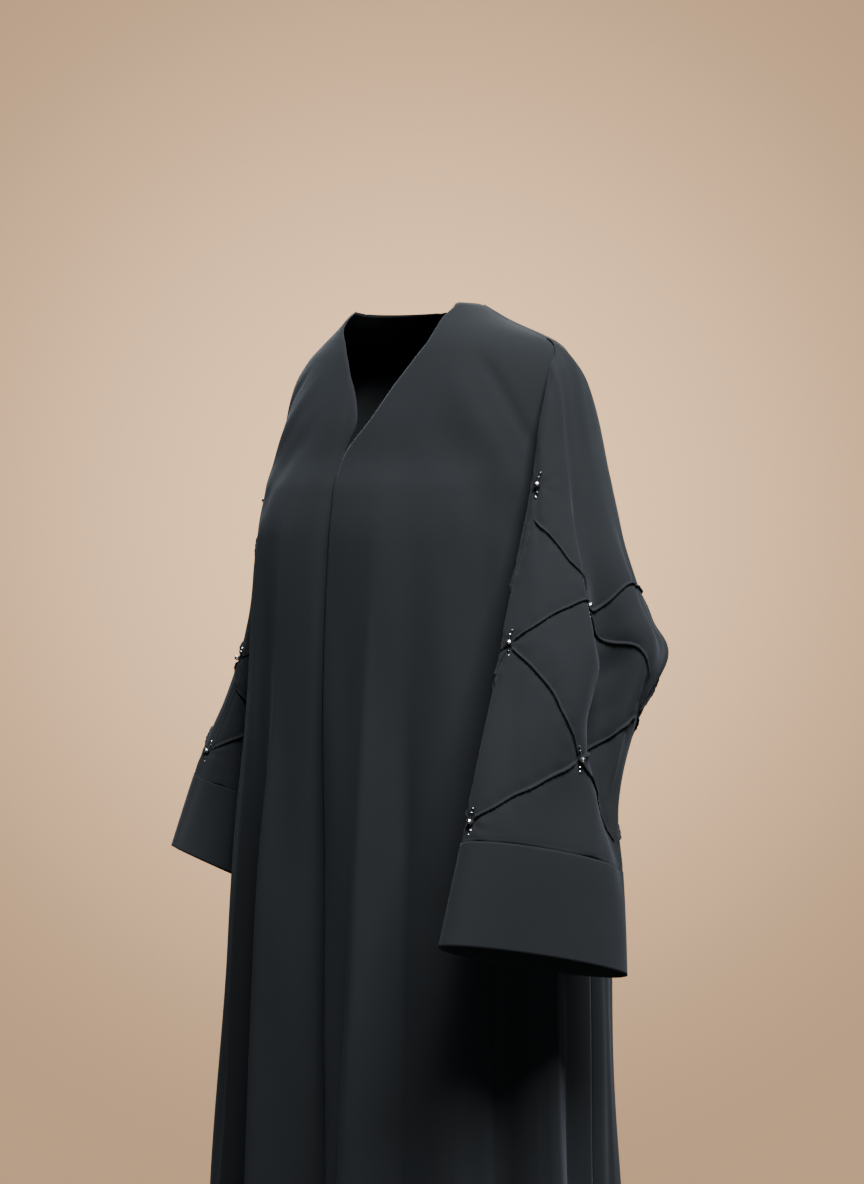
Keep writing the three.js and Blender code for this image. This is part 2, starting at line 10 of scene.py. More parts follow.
import bpy
import numpy as np
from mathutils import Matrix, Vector

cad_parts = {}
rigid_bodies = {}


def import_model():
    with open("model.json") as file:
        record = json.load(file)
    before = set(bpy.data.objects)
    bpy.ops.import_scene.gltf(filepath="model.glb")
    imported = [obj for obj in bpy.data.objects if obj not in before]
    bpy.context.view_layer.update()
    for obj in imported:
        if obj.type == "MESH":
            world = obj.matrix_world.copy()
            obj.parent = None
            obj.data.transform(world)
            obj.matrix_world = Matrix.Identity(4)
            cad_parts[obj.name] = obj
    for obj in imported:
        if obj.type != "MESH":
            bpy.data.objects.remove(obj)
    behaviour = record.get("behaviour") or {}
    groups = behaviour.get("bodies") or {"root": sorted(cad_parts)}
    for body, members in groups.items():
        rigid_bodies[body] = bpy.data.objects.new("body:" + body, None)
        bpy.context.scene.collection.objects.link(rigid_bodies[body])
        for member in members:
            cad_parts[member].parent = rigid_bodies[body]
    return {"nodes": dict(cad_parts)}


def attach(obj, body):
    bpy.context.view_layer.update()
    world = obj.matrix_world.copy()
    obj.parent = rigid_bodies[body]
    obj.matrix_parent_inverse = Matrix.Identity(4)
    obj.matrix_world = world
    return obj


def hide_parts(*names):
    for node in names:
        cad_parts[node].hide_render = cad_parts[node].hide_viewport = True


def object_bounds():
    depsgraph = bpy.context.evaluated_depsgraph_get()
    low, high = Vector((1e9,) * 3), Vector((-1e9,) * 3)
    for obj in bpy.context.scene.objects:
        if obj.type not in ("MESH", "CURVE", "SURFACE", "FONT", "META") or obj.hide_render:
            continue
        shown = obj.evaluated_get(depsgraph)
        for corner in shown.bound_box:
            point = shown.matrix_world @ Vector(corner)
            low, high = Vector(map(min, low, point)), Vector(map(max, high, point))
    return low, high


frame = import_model()
cad_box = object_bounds()
print("solids:", len(frame["nodes"]), "box:", [[round(v, 3) for v in corner] for corner in cad_box])


def in_scene(name, data):
    """A new object in the scene."""
    made = bpy.data.objects.new(name, data)
    bpy.context.scene.collection.objects.link(made)
    return made


# %% [markdown]
# The picture is taken from the height of the chest and from close by, so that the robe fills it.
# The camera is set by where it stands and where it looks, because both can be measured on the
# garment.

# %% Camera
CAMERA_TURN = math.radians(37)
CAMERA_AWAY = 1.6
CAMERA_HEIGHT = -0.185
CAMERA_DIP = math.radians(4.54)
LENS = 44.8
SENSOR_WIDTH = 36
SIDE_SHIFT = 0.0118

camera_data = bpy.data.cameras.new("camera")
camera_data.lens = LENS
camera_data.sensor_width = SENSOR_WIDTH
camera_data.shift_x = SIDE_SHIFT
camera = in_scene("camera", camera_data)
camera.location = (
    CAMERA_AWAY * math.sin(CAMERA_TURN),
    -CAMERA_AWAY * math.cos(CAMERA_TURN),
    CAMERA_HEIGHT,
)
camera.rotation_euler = (math.pi / 2 - CAMERA_DIP, 0, CAMERA_TURN)
bpy.context.scene.camera = camera
print("camera at", [round(v, 3) for v in camera.location])

# %% [markdown]
# The shape of the robe follows a few rings round the body. Each row says how far the cloth reaches
# in front, to the wearer's left, behind and to the right, and how much of each hanging fold shows
# there. All sizes are in millimetres, with the left along +X, the front along -Y and up along +Z.

# %% Rings of the body
HEM = -1430
MM = 0.001

# Columns: z, front, left, back, right, fold
BODY_RINGS = [
    (-8, 64, 84, 42, 72, 0),
    (-25, 74, 114, 64, 88, 0),
    (-47, 84, 162, 98, 118, 0),
    (-60, 90, 177, 107, 134, 0),
    (-85, 100, 186, 112, 152, 0),
    (-128, 117, 189, 120, 162, 0),
    (-168, 129, 190, 126, 171, 0),
    (-200, 143, 190, 128, 181, 0.03),
    (-252, 154, 190, 128, 190, 0.1),
    (-400, 162, 197, 128, 196, 0.28),
    (-600, 168, 216, 130, 220, 0.55),
    (-950, 170, 226, 138, 255, 0.85),
    (HEM, 190, 275, 185, 298, 1),
]

# %% [markdown]
# Cloth that hangs free falls in long folds that grow towards the hem. A fold is written down by
# its place in degrees round from the centre front, at the top and at the hem, by its half width,
# and by how far it stands out or, below zero, goes in.

# %% Hanging folds
# Columns: degrees at the top and at the hem, half width in degrees, depth
HANGING_FOLDS = [
    (-58, -62, 9, 12),
    (-38, -36, 9, -18),
    (-19, -19.5, 7, 14),
    (-3, -3, 6.5, -12),
    (19, 6, 6.5, 16),
    (31, 19, 7, -18),
    (43, 35, 8, 14),
    (57, 53, 7, -16),
    (68, 66, 6.5, 16),
    (81, 80, 7, -14),
    (97, 96, 7, 8),
    (112, 111, 8, 20),
    (129, 128, 8, -18),
    (146, 146, 8, 20),
    (164, 163, 8, -20),
    (181, 181, 8, 18),
    (198, 199, 8, -18),
    (216, 217, 9, 20),
    (235, 235, 8, -18),
    (254, 253, 9, 18),
    (274, 273, 8, -14),
]

# %% [markdown]
# The armhole is where the sleeve is set in. Its table gives the edge of the body before and behind
# it. The two fronts meet in a V at the neck and run down to the hem, the left one over the right.

# %% Edges of the panels
# Columns: z, degrees of the edge before and behind the armhole
ARMHOLE = [
    (-47, 90, 90),
    (-60, 87, 94),
    (-85, 81, 101),
    (-120, 78.5, 105.5),
    (-160, 75, 108),
    (-200, 70, 111),
    (-232, 74, 108),
    (-252, 90, 90),
]
SLEEVE_SEAM = -200

# Columns: z, degrees of the edge of the left and of the right front
FRONT_EDGES = [
    (-8, 60, -64),
    (-25, 40, -40),
    (-47, 26, -18),
    (-85, 15.7, -4.6),
    (-128, 8.2, 2.4),
    (-168, 0, 0),
    (-225, 0, 10),
    (HEM, 0, 10),
]
LAP_INSET = 2.6
LAP_FROM = -6
LAP_TO = -1
SIDE_SEAM = 90

# %% [markdown]
# A sleeve is a row of sections from the armhole to the hem of the cuff. Each one has a front and a
# back edge, and an outer and an under side that stand off the line between them. The wearer's left
# arm is held a little further forward than the right one, so each sleeve has its own table.

# %% Sections of the sleeves
# Columns: number, x, y and z of the front edge, x, y and z of the back edge, lift and reach of the
# outer side, drop and reach of the under side, crease, pinch, and place and depth of the elbow fold
SLEEVE_LEFT = [
    (0, 177, -49, -200, 180, 50, -200, 95, 156, -80, 52, 1, 0.2, 80, 0),
    (1, 187, -71, -222, 194, 62, -222, 88, 147, -76, 40, 1, 0.25, 80, 0),
    (2, 190, -94, -262, 210, 64, -262, 81, 110, -74, 24, 1.1, 0.25, 80, 6),
    (3, 194, -113, -300, 226, 60, -308, 69, 84, -85, 18, 1.3, 0.1, 85, 16),
    (4, 198, -134, -345, 248, 58, -346, 47, 67, -115, 16, 1.5, 0, 92, 32),
    (5, 202, -154, -387, 270, 54, -373, 30, 58, -145, 20, 1.6, 0, 97, 44),
    (6, 205, -180, -440, 260, 8, -442, 25, 50, -155, 26, 1.5, 0, 108, 38),
    (7, 205, -195, -482, 262, -26, -508, 23, 42, -157, 30, 1.2, 0, 130, 20),
    (8, 205, -205, -517, 278, -44, -569, 22, 38, -158, 34, 1, 0, 150, 5),
    (9, 204, -220, -560, 282, -46, -618, 22, 38, -158, 36, 1, 0, 150, 0),
    (10, 203, -236, -606, 285, -47, -669, 22, 38, -158, 38, 1, 0, 150, 0),
]
SLEEVE_RIGHT = [
    (0, 176, -49, -200, 178, 50, -200, 98, 150, -76, 52, 1, 0.6, 80, 0),
    (1, 182, -44, -224, 190, 68, -222, 96, 118, -76, 38, 1.2, 0.7, 80, 0),
    (2, 195, -34, -268, 200, 82, -262, 76, 88, -90, 24, 1.2, 0.5, 80, 4),
    (3, 202, -34, -315, 207, 94, -308, 52, 64, -110, 20, 1.2, 0.2, 85, 8),
    (4, 205, -40, -362, 217, 104, -352, 40, 48, -130, 16, 1.2, 0, 92, 12),
    (5, 207, -58, -405, 228, 106, -388, 31, 38, -148, 14, 1.2, 0, 97, 16),
    (6, 210, -80, -450, 238, 90, -450, 25, 35, -155, 14, 1.2, 0, 108, 14),
    (7, 212, -104, -490, 249, 62, -515, 23, 34, -157, 16, 1.1, 0, 130, 8),
    (8, 213, -122, -524, 258, 42, -580, 22, 32, -158, 17, 1, 0, 150, 3),
    (9, 211, -142, -557, 264, 27, -628, 22, 30, -158, 18, 1, 0, 150, 0),
    (10, 208, -166, -594, 270, 12, -680, 22, 26, -158, 19, 1, 0, 150, 0),
]
CUFF_SECTION = 8
LAST_SECTION = 10
ARMHOLE_BLEND = 1
FOLD_HALF_WIDTH = 13

# %% [markdown]
# A table is read between its rows on a smooth curve through them, so a few rows describe a soft
# form. The armholes are read along straight lines instead.

# %% Reading the tables
def on_curve(table, at):
    rows = np.array(table, float)
    at = np.asarray(at, float)
    rising = 1 if rows[-1, 0] > rows[0, 0] else -1
    low = np.searchsorted(rising * rows[:, 0], rising * at, side="left") - 1
    low = np.clip(low, 0, len(rows) - 2)
    a, b = rows[low], rows[low + 1]
    before = rows[np.maximum(low - 1, 0)]
    after = rows[np.minimum(low + 2, len(rows) - 1)]
    span = b[..., :1] - a[..., :1]
    t = np.clip((at[..., None] - a[..., :1]) / span, 0, 1)
    slope_a = (b - before) / (b[..., :1] - before[..., :1])
    slope_b = (after - a) / (after[..., :1] - a[..., :1])
    values = (2 * t**3 - 3 * t**2 + 1) * a + (t**3 - 2 * t**2 + t) * span * slope_a
    return values + (3 * t**2 - 2 * t**3) * b + (t**3 - t**2) * span * slope_b


def on_line(table, column, at):
    rows = np.array(table, float)[::-1]
    return np.interp(at, rows[:, 0], rows[:, column])


def smooth(low, high, value):
    t = np.clip((value - low) / (high - low), 0, 1)
    return t * t * (3 - 2 * t)


def unit(vectors):
    return vectors / np.maximum(np.linalg.norm(vectors, axis=-1, keepdims=True), 1e-9)


print("reach in front at the waist:", round(float(on_curve(BODY_RINGS, -300)[1]), 1), "mm")

# %% [markdown]
# The body of the robe is a function of the angle round it and the height. The hanging folds push
# its surface in and out.

# %% Surface of the body
def fold_depth(deg, z, strength):
    down = z / HEM
    depth = np.zeros(np.broadcast(deg, z).shape)
    for top, hem, width, most in HANGING_FOLDS:
        centre = top + (hem - top) * down
        away = np.mod(deg - centre + 180, 360) - 180
        depth += most * strength * np.exp(-((away / width) ** 2))
    return depth


def body_form(deg, z):
    deg, z = np.broadcast_arrays(np.asarray(deg, float), np.asarray(z, float))
    ring = on_curve(BODY_RINGS, z)
    across, ahead = np.sin(np.radians(deg)), np.cos(np.radians(deg))
    side = np.where(across > 0, ring[..., 2], ring[..., 4])
    depth = np.where(ahead > 0, ring[..., 1], ring[..., 3])
    out = unit(np.stack([across / side, -ahead / depth, np.zeros_like(z)], axis=-1))
    point = np.stack([side * across, -depth * ahead, z], axis=-1)
    return point + out * fold_depth(deg, z, ring[..., 5])[..., None]


# %% [markdown]
# A crease is a soft valley or ridge along a short path. Each row of the table gives the place of
# its two ends as angle and height, its half width and how far it stands out or goes in. One that
# runs on past the hem, to a height of -1900, doesn't fade before it.

# %% Creases of the body
# Columns: degrees and z of one end, degrees and z of the other, half width, depth
BODY_CREASES = [
    (30, -70, 68, -215, 16, 2.2),
    (42, -60, 72, -170, 9, -2),
    (24, -110, 66, -262, 20, -1.8),
    (-22, -80, -68, -210, 12, 2.4),
    (-34, -70, -74, -170, 8, -2),
    (-14, -120, -62, -262, 16, -2),
    (68, -215, 66, -420, 9, -5),
    (58, -190, 57, -420, 12, 4),
    (-70, -210, -68, -400, 9, -4),
    (125, -70, 116, -230, 14, -2.5),
    (235, -70, 244, -230, 14, -2.5),
    (150, -40, 172, -230, 22, 1.8),
    (210, -40, 190, -250, 22, 1.8),
    (112, -230, 120, -520, 12, -4),
    (249, -230, 240, -520, 12, -4),
    (-19, -240, -19.6, -1900, 8, 4),
    (-30, -260, -32, -1900, 20, -10),
    (-48, -300, -50, -1900, 9, 3.5),
    (-1, -330, -3, -1900, 12, -7),
    (16.9, -230, 1.7, -1900, 8, 4.5),
    (28.2, -330, 15, -1900, 9, -4),
    (41.2, -430, 32.4, -1900, 12, 2.5),
    (55.7, -450, 51.7, -1900, 14, -7),
    (67.4, -430, 65.3, -1900, 8, 4),
    (80.7, -450, 79.7, -1900, 9, -3),
    (104, -430, 103, -1900, 9, 3),
    (138, -380, 137, -1900, 8, -3),
    (173, -350, 172, -1900, 9, 3.2),
    (207, -380, 208, -1900, 8, -3),
    (245, -430, 244, -1900, 9, 3.2),
    (-75, -450, -74, -1900, 8, -2.6),
]
# A crease grows and fades between these shares of its length.
CREASE_STARTS = (-0.05, 0.25)
CREASE_ENDS = (0.75, 1.05)


def crease_depth(across, along, creases):
    """Sum of soft creases at places given as two plain coordinates in millimetres."""
    total = np.zeros(np.broadcast(across, along).shape)
    for a_across, a_along, b_across, b_along, width, most in creases:
        run = np.array([b_across - a_across, b_along - a_along], float)
        length = np.hypot(*run)
        t = ((across - a_across) * run[0] + (along - a_along) * run[1]) / length**2
        held = np.clip(t, 0, 1)
        away = np.hypot(across - a_across - held * run[0], along - a_along - held * run[1])
        ends = smooth(*CREASE_STARTS, t) * (1 - smooth(*CREASE_ENDS, t))
        total += most * ends * np.exp(-((away / width) ** 2))
    return total


MM_PER_DEGREE = 3.0


def creases_in_mm(rows, across, along):
    """Rows of a crease table with both ends in millimetres."""
    return np.array(rows, float) * (across, along, across, along, 1, 1)


body_creases = creases_in_mm(BODY_CREASES, MM_PER_DEGREE, 1)
print("creases on the body:", len(body_creases))

# %% [markdown]
# In the skirt some folds hang over the one beside them, so their edge shows as a sharp line. Such a
# fold steps out over a few millimetres along its line and then sinks back slowly on its left side.
# On the back they are mirrored, so that each one hangs away from the centre.

# %% Overhanging folds
# Columns: degrees and z of one end, degrees and z of the other, rise, run
OVERHANGING_FOLDS = [
    (-19, -200, -20, -1430, 14, 60),
    (17.6, -200, 5, -1430, 15, 50),
    (68.4, -380, 65, -1430, 12, 40),
    (42, -480, 36, -1430, 4, 40),
    (-47, -420, -50, -1430, 6, 50),
    (124, -380, 121, -1430, 8, 50),
    (158, -330, 156, -1430, 8, 55),
    (203, -330, 205, -1430, 8, -55),
    (238, -380, 240, -1430, 8, -50),
    (272, -420, 270, -1430, 7, -45),
]
STEP_HALF = 3.2
# The share of its length at which such a fold has its full rise.
OVERHANG_GROWN = 0.55


def overhang_depth(deg, z):
    total = np.zeros(np.broadcast(deg, z).shape)
    for deg_a, z_a, deg_b, z_b, rise, run in OVERHANGING_FOLDS:
        t = (z - z_a) / (z_b - z_a)
        past_line = np.mod(deg - deg_a - (deg_b - deg_a) * t + 180, 360) - 180
        away = past_line * MM_PER_DEGREE * math.copysign(1, run)
        step = smooth(-STEP_HALF, STEP_HALF, away) * np.exp(-np.maximum(away, 0) / abs(run))
        total += rise * smooth(0, OVERHANG_GROWN, t) * step
    return total


print("overhanging folds:", len(OVERHANGING_FOLDS))

# %% [markdown]
# Cloth is never quite even. A sum of a few long sine waves, each with its own length and slant,
# stands in for the slight waviness that hanging leaves, without anything random.

# %% Waviness of hanging cloth
# Columns: length across, length down, phase, height
CLOTH_WAVES = [
    (83, 610, 0.4, 0.7),
    (57, -430, 1.9, 0.5),
    (131, 340, 3.1, 0.8),
    (41, 270, 4.4, 0.25),
]


def waviness(across, along):
    total = np.zeros(np.broadcast(across, along).shape)
    for length_across, length_down, phase, height in CLOTH_WAVES:
        turns = across / length_across + along / length_down
        total += height * np.sin(2 * np.pi * turns + phase)
    return total


def surface_normals(grid, closed=False):
    down = np.gradient(grid, axis=0)
    if closed:
        around = np.roll(grid, -1, axis=1) - np.roll(grid, 1, axis=1)
    else:
        around = np.gradient(grid, axis=1)
    return unit(np.cross(down, around))


# %% [markdown]
# A sheet is a grid of points. A second grid, moved in by the thickness of the cloth, makes its
# inner side, and a narrow rim joins the two. The lengths along the grid become its UV map, in
# metres, so that the weave keeps one size on every piece.

# %% From a grid to a thin sheet
def lengths_along(grid, axis):
    steps = np.linalg.norm(np.diff(grid, axis=axis), axis=-1)
    start = np.zeros_like(np.take(steps, [0], axis=axis))
    return np.concatenate([start, np.cumsum(steps, axis=axis)], axis=axis)


def quads(a, b, c, d):
    return np.stack([a, b, c, d], axis=-1).reshape(-1, 4)


def sheet_object(name, outer, thickness, closed=False):
    """A thin closed sheet in metres, from a grid of outer points in millimetres."""
    rows, columns = outer.shape[:2]
    inner = outer - surface_normals(outer, closed) * thickness
    points = np.concatenate([outer.reshape(-1, 3), inner.reshape(-1, 3)]) * MM
    count = rows * columns
    last = columns if closed else columns - 1
    i, j = np.meshgrid(np.arange(rows - 1), np.arange(last), indexing="ij")

    def at(row, column):
        return row * columns + column % columns

    outside = quads(at(i, j), at(i + 1, j), at(i + 1, j + 1), at(i, j + 1))
    inside = quads(at(i, j), at(i, j + 1), at(i + 1, j + 1), at(i + 1, j)) + count
    j0 = np.arange(last)
    end = rows - 1
    rims = [
        quads(at(0, j0), at(0, j0 + 1), at(0, j0 + 1) + count, at(0, j0) + count),
        quads(at(end, j0), at(end, j0) + count, at(end, j0 + 1) + count, at(end, j0 + 1)),
    ]
    if not closed:
        i0 = np.arange(rows - 1)
        rims.append(quads(at(i0, 0), at(i0, 0) + count, at(i0 + 1, 0) + count, at(i0 + 1, 0)))
        edge = columns - 1
        rims.append(
            quads(at(i0, edge), at(i0 + 1, edge), at(i0 + 1, edge) + count, at(i0, edge) + count)
        )
    faces = np.concatenate([outside, inside, *rims])

    mesh = bpy.data.meshes.new(name)
    mesh.vertices.add(len(points))
    mesh.vertices.foreach_set("co", points.ravel())
    mesh.loops.add(faces.size)
    mesh.loops.foreach_set("vertex_index", faces.ravel().astype(np.int32))
    mesh.polygons.add(len(faces))
    mesh.polygons.foreach_set("loop_start", np.arange(0, faces.size, 4, dtype=np.int32))
    mesh.update(calc_edges=True)
    mesh.polygons.foreach_set("use_smooth", np.ones(len(faces), bool))

    wrapped = np.concatenate([outer, outer[:, :1]], axis=1) if closed else outer
    u = lengths_along(wrapped, 1)
    v = lengths_along(wrapped, 0)
    uv = np.stack([u - u[:, u.shape[1] // 2, None], v], axis=-1) * MM
    loops = np.concatenate(
        [
            np.stack([uv[i, j], uv[i + 1, j], uv[i + 1, j + 1], uv[i, j + 1]], axis=2),
            np.stack([uv[i, j], uv[i, j + 1], uv[i + 1, j + 1], uv[i + 1, j]], axis=2),
        ]
    ).reshape(-1, 2)
    rim_uv = uv.reshape(-1, 2)
    rim_faces = np.concatenate(rims) % count
    flat = np.minimum(rim_faces // columns * uv.shape[1] + rim_faces % columns, len(rim_uv) - 1)
    layer = mesh.uv_layers.new(name="cloth")
    layer.data.foreach_set("uv", np.concatenate([loops, rim_uv[flat.ravel()]]).ravel())

    piece = in_scene(name, mesh)
    mesh.validate()
    return piece


def cloth_size(grid):
    """Width at the widest row, longest column and area of a grid, in metres."""
    across = lengths_along(grid, 1)[:, -1].max() * MM
    along = lengths_along(grid, 0)[-1].max() * MM
    a = grid[1:, :-1] - grid[:-1, :-1]
    b = grid[:-1, 1:] - grid[:-1, :-1]
    area = np.linalg.norm(np.cross(a, b), axis=-1).sum() * MM * MM
    return round(float(across), 3), round(float(along), 3), round(float(area), 3)


print("helpers for sheets are ready")

# %% [markdown]
# Crepe has a dry, pebbly face from its twisted yarns, and it is nearly black with a cool grey
# sheen where light grazes it. Two fine noises on the UV map give the pebble and the yarns, and a
# slow noise on the object's own coordinates shifts the colour a little.

# %% Crepe
CREPE_DARK = (0.0098, 0.0109, 0.0122, 1)
CREPE_LIGHT = (0.0131, 0.0145, 0.0161, 1)
SHEEN_TINT = (0.66, 0.76, 0.88, 1)
YARN_SCALE = (2100, 620, 1)


def new_material(name):
    material = bpy.data.materials.new(name)
    material.use_nodes = True
    tree = material.node_tree
    return material, tree, tree.nodes["Principled BSDF"]


def set_values(node, **values):
    """Sets inputs of a node by name, with _ for a space, and its other settings."""
    for key, value in values.items():
        socket = node.inputs.get(key.replace("_", " "))
        if socket is None:
            setattr(node, key, value)
        else:
            socket.default_value = value
    return node


def add_node(tree, kind, **values):
    return set_values(tree.nodes.new(kind), **values)


def add_noise(tree, coordinates="Object", stretch=None, **values):
    """The output of a noise on the object's own coordinates or on its UV map."""
    place = add_node(tree, "ShaderNodeTexCoord").outputs[coordinates]
    if stretch:
        mapping = add_node(tree, "ShaderNodeMapping", Scale=stretch)
        tree.links.new(place, mapping.inputs["Vector"])
        place = mapping.outputs["Vector"]
    noise = add_node(tree, "ShaderNodeTexNoise", **values)
    tree.links.new(place, noise.inputs["Vector"])
    return noise.outputs["Fac"]


def mix_colours(tree, share, first, second, target):
    node = add_node(tree, "ShaderNodeMix", data_type="RGBA")
    node.inputs[6].default_value = first
    node.inputs[7].default_value = second
    tree.links.new(share, node.inputs[0])
    tree.links.new(node.outputs[2], target)


def vary_roughness(tree, shader, share, low, high):
    node = add_node(tree, "ShaderNodeMapRange", To_Min=low, To_Max=high)
    tree.links.new(share, node.inputs["Value"])
    tree.links.new(node.outputs["Result"], shader.inputs["Roughness"])


def clouded_material(name, dark, light, roughness, **noise):
    """A plain material whose colour wanders between two near ones."""
    material, tree, shader = new_material(name)
    mix_colours(tree, add_noise(tree, **noise), dark, light, shader.inputs["Base Color"])
    set_values(shader, Roughness=roughness)
    return material


def crepe_material():
    material, tree, shader = new_material("crepe")
    link = tree.links.new
    cloud = add_noise(tree, Scale=7.0, Detail=4.0, Roughness=0.6)
    mix_colours(tree, cloud, CREPE_DARK, CREPE_LIGHT, shader.inputs["Base Color"])
    vary_roughness(tree, shader, cloud, low=0.9, high=1.0)
    height = add_node(tree, "ShaderNodeMath", operation="ADD")
    link(add_noise(tree, "UV", YARN_SCALE, Scale=1.0, Detail=2.0), height.inputs[0])
    link(add_noise(tree, "UV", Scale=950.0, Detail=2.0), height.inputs[1])
    bump = add_node(tree, "ShaderNodeBump", Strength=0.35, Distance=0.00035)
    link(height.outputs[0], bump.inputs["Height"])
    link(bump.outputs["Normal"], shader.inputs["Normal"])
    set_values(shader, Specular_IOR_Level=0.02, Sheen_Weight=0.05, Sheen_Roughness=0.5)
    set_values(shader, Sheen_Tint=SHEEN_TINT)
    return material


crepe = crepe_material()
print("material:", crepe.name)


def dress(piece, material, nodes):
    """Gives a piece its material, joins it to the root body and hides the solids it stands for."""
    piece.data.materials.clear()
    piece.data.materials.append(material)
    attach(piece, "root")
    if nodes:
        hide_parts(*nodes)


# %% [markdown]
# The four panels of the body hang from the shoulders. Rows of points lie close together round
# the neck and the armholes, where the cloth turns most, and wider apart below.

# %% Panels of the body
CLOTH = 0.9
SEAM_DIP = 0.8
SEAM_HALF = 2.6
EDGE_ROLL = 1.3
EDGE_ROLL_WIDTH = 5.0
HEM_BAND = 28
HEM_DIP = 0.5
HEM_DIP_HALF = 2.5
# The waviness grows between these heights.
WAVES_START = -60
WAVES_FULL = -260
# Rows lie FINE_STEP apart down to FINE_END. The counts of columns run from edge to edge, and
# the fronts have a stop between, at least FRONT_MIDDLE degrees from the centre.
FINE_STEP = 3.0
FINE_END = -300
LOWER_ROWS = 138
FRONT_MIDDLE = 45
LEFT_COLUMNS = (56, 56)
RIGHT_COLUMNS = (56, 62)
BACK_COLUMNS = (90,)

upper_rows = np.arange(BODY_RINGS[0][0], FINE_END, -FINE_STEP)
lower_rows = np.linspace(FINE_END, HEM, LOWER_ROWS)
armhole_rows = [row[0] for row in ARMHOLE]
body_rows = np.array(sorted({*upper_rows, *lower_rows, *armhole_rows}, reverse=True), float)


def side_edge(z, column):
    inside = (z < ARMHOLE[0][0]) & (z > ARMHOLE[-1][0])
    return np.where(inside, on_line(ARMHOLE, column, z), SIDE_SEAM)


def between(stops, counts):
    """Columns of a panel for each row, from stop to stop, with so many columns each."""
    parts = []
    for k, count in enumerate(counts):
        share = np.linspace(0, 1, count + 1)[0 if k == 0 else 1 :]
        parts.append(stops[k][:, None] + (stops[k + 1] - stops[k])[:, None] * share)
    return np.concatenate(parts, axis=1)


def seam_dip(grid, edges):
    """Cloth drawn in along its seams, in millimetres, for the named edges of a grid."""
    across = lengths_along(grid, 1)
    dip = np.zeros(grid.shape[:2])
    if "start" in edges:
        dip += np.exp(-((across / SEAM_HALF) ** 2))
    if "end" in edges:
        dip += np.exp(-(((across[:, -1:] - across) / SEAM_HALF) ** 2))
    return -SEAM_DIP * dip


def edge_roll(grid, side):
    """A folded front edge turned in a little, so that it is rounded and not a cut rim."""
    across = lengths_along(grid, 1)
    away = across if side == "start" else across[:, -1:] - across
    return -EDGE_ROLL * (1 - smooth(0, EDGE_ROLL_WIDTH, away)) ** 2


def body_panel(name, deg, seams, rolled=None, inset=0.0):
    z = np.broadcast_to(body_rows[:, None], deg.shape)
    form = body_form(deg, z)
    across = deg * MM_PER_DEGREE
    depth = crease_depth(across, z, body_creases) + seam_dip(form, seams) - inset
    depth += waviness(across, z) * smooth(WAVES_START, WAVES_FULL, z) + overhang_depth(deg, z)
    if rolled:
        depth += edge_roll(form, rolled)
    depth -= HEM_DIP * np.exp(-(((z - HEM - HEM_BAND) / HEM_DIP_HALF) ** 2))
    grid = form + surface_normals(form) * depth[..., None]
    piece = sheet_object(name, grid, CLOTH)
    dress(piece, crepe, [name])
    print(name, "is", cloth_size(grid), "wide, long (m) and in area (m2)")
    return piece, grid


left_edge, right_edge = on_curve(FRONT_EDGES, body_rows)[:, 1:].T
front_side = side_edge(body_rows, 1)
back_side = side_edge(body_rows, 2)
left_middle = np.maximum(FRONT_MIDDLE, (left_edge + front_side) / 2)
right_middle = np.maximum(FRONT_MIDDLE, (front_side - right_edge) / 2)
centre_back = np.full_like(body_rows, 180)

left_deg = between([left_edge, left_middle, front_side], LEFT_COLUMNS)
right_deg = between([-front_side, -right_middle, right_edge], RIGHT_COLUMNS)
back_left_deg = between([back_side, centre_back], BACK_COLUMNS)
back_right_deg = between([centre_back, 360 - back_side], BACK_COLUMNS)
lap = LAP_INSET * smooth(LAP_FROM, LAP_TO, right_deg)

body_panels = {
    "front_left": body_panel("front_left", left_deg, ("end",), "start"),
    "front_right": body_panel("front_right", right_deg, ("start",), "end", lap),
    "back_left": body_panel("back_left", back_left_deg, ("start", "end")),
    "back_right": body_panel("back_right", back_right_deg, ("start", "end")),
}

# %% [markdown]
# Each sleeve is first made as one grid all the way round, from the armhole to the hem of the cuff,
# because its pucker and its creases run on from the outer side to the under side. It is cut into
# its pieces afterwards. The right sleeve is worked out as a left one and then turned over.

# %% Surface of a sleeve
OVER_CHAIN = [(row[1], row[0]) for row in ARMHOLE[::-1] if row[0] >= SLEEVE_SEAM]
OVER_CHAIN += [(row[2], row[0]) for row in ARMHOLE[1:] if row[0] >= SLEEVE_SEAM]
UNDER_CHAIN = [(row[2], row[0]) for row in ARMHOLE if row[0] <= SLEEVE_SEAM]
UNDER_CHAIN += [(row[1], row[0]) for row in ARMHOLE[-2::-1] if row[0] <= SLEEVE_SEAM]


def armhole_point(side, deg):
    over = deg <= 180
    share = np.where(over, deg / 180, deg / 180 - 1)
    point = np.zeros((*deg.shape, 3))
    for chain, mask in ((OVER_CHAIN, over), (UNDER_CHAIN, ~over)):
        chain = np.array(chain, float)
        at = share * (len(chain) - 1)
        steps = np.arange(len(chain))
        body_deg = np.interp(at, steps, chain[:, 0])
        form = body_form(side * body_deg, np.interp(at, steps, chain[:, 1]))
        point[mask] = form[mask]
    point[..., 0] *= side
    return point


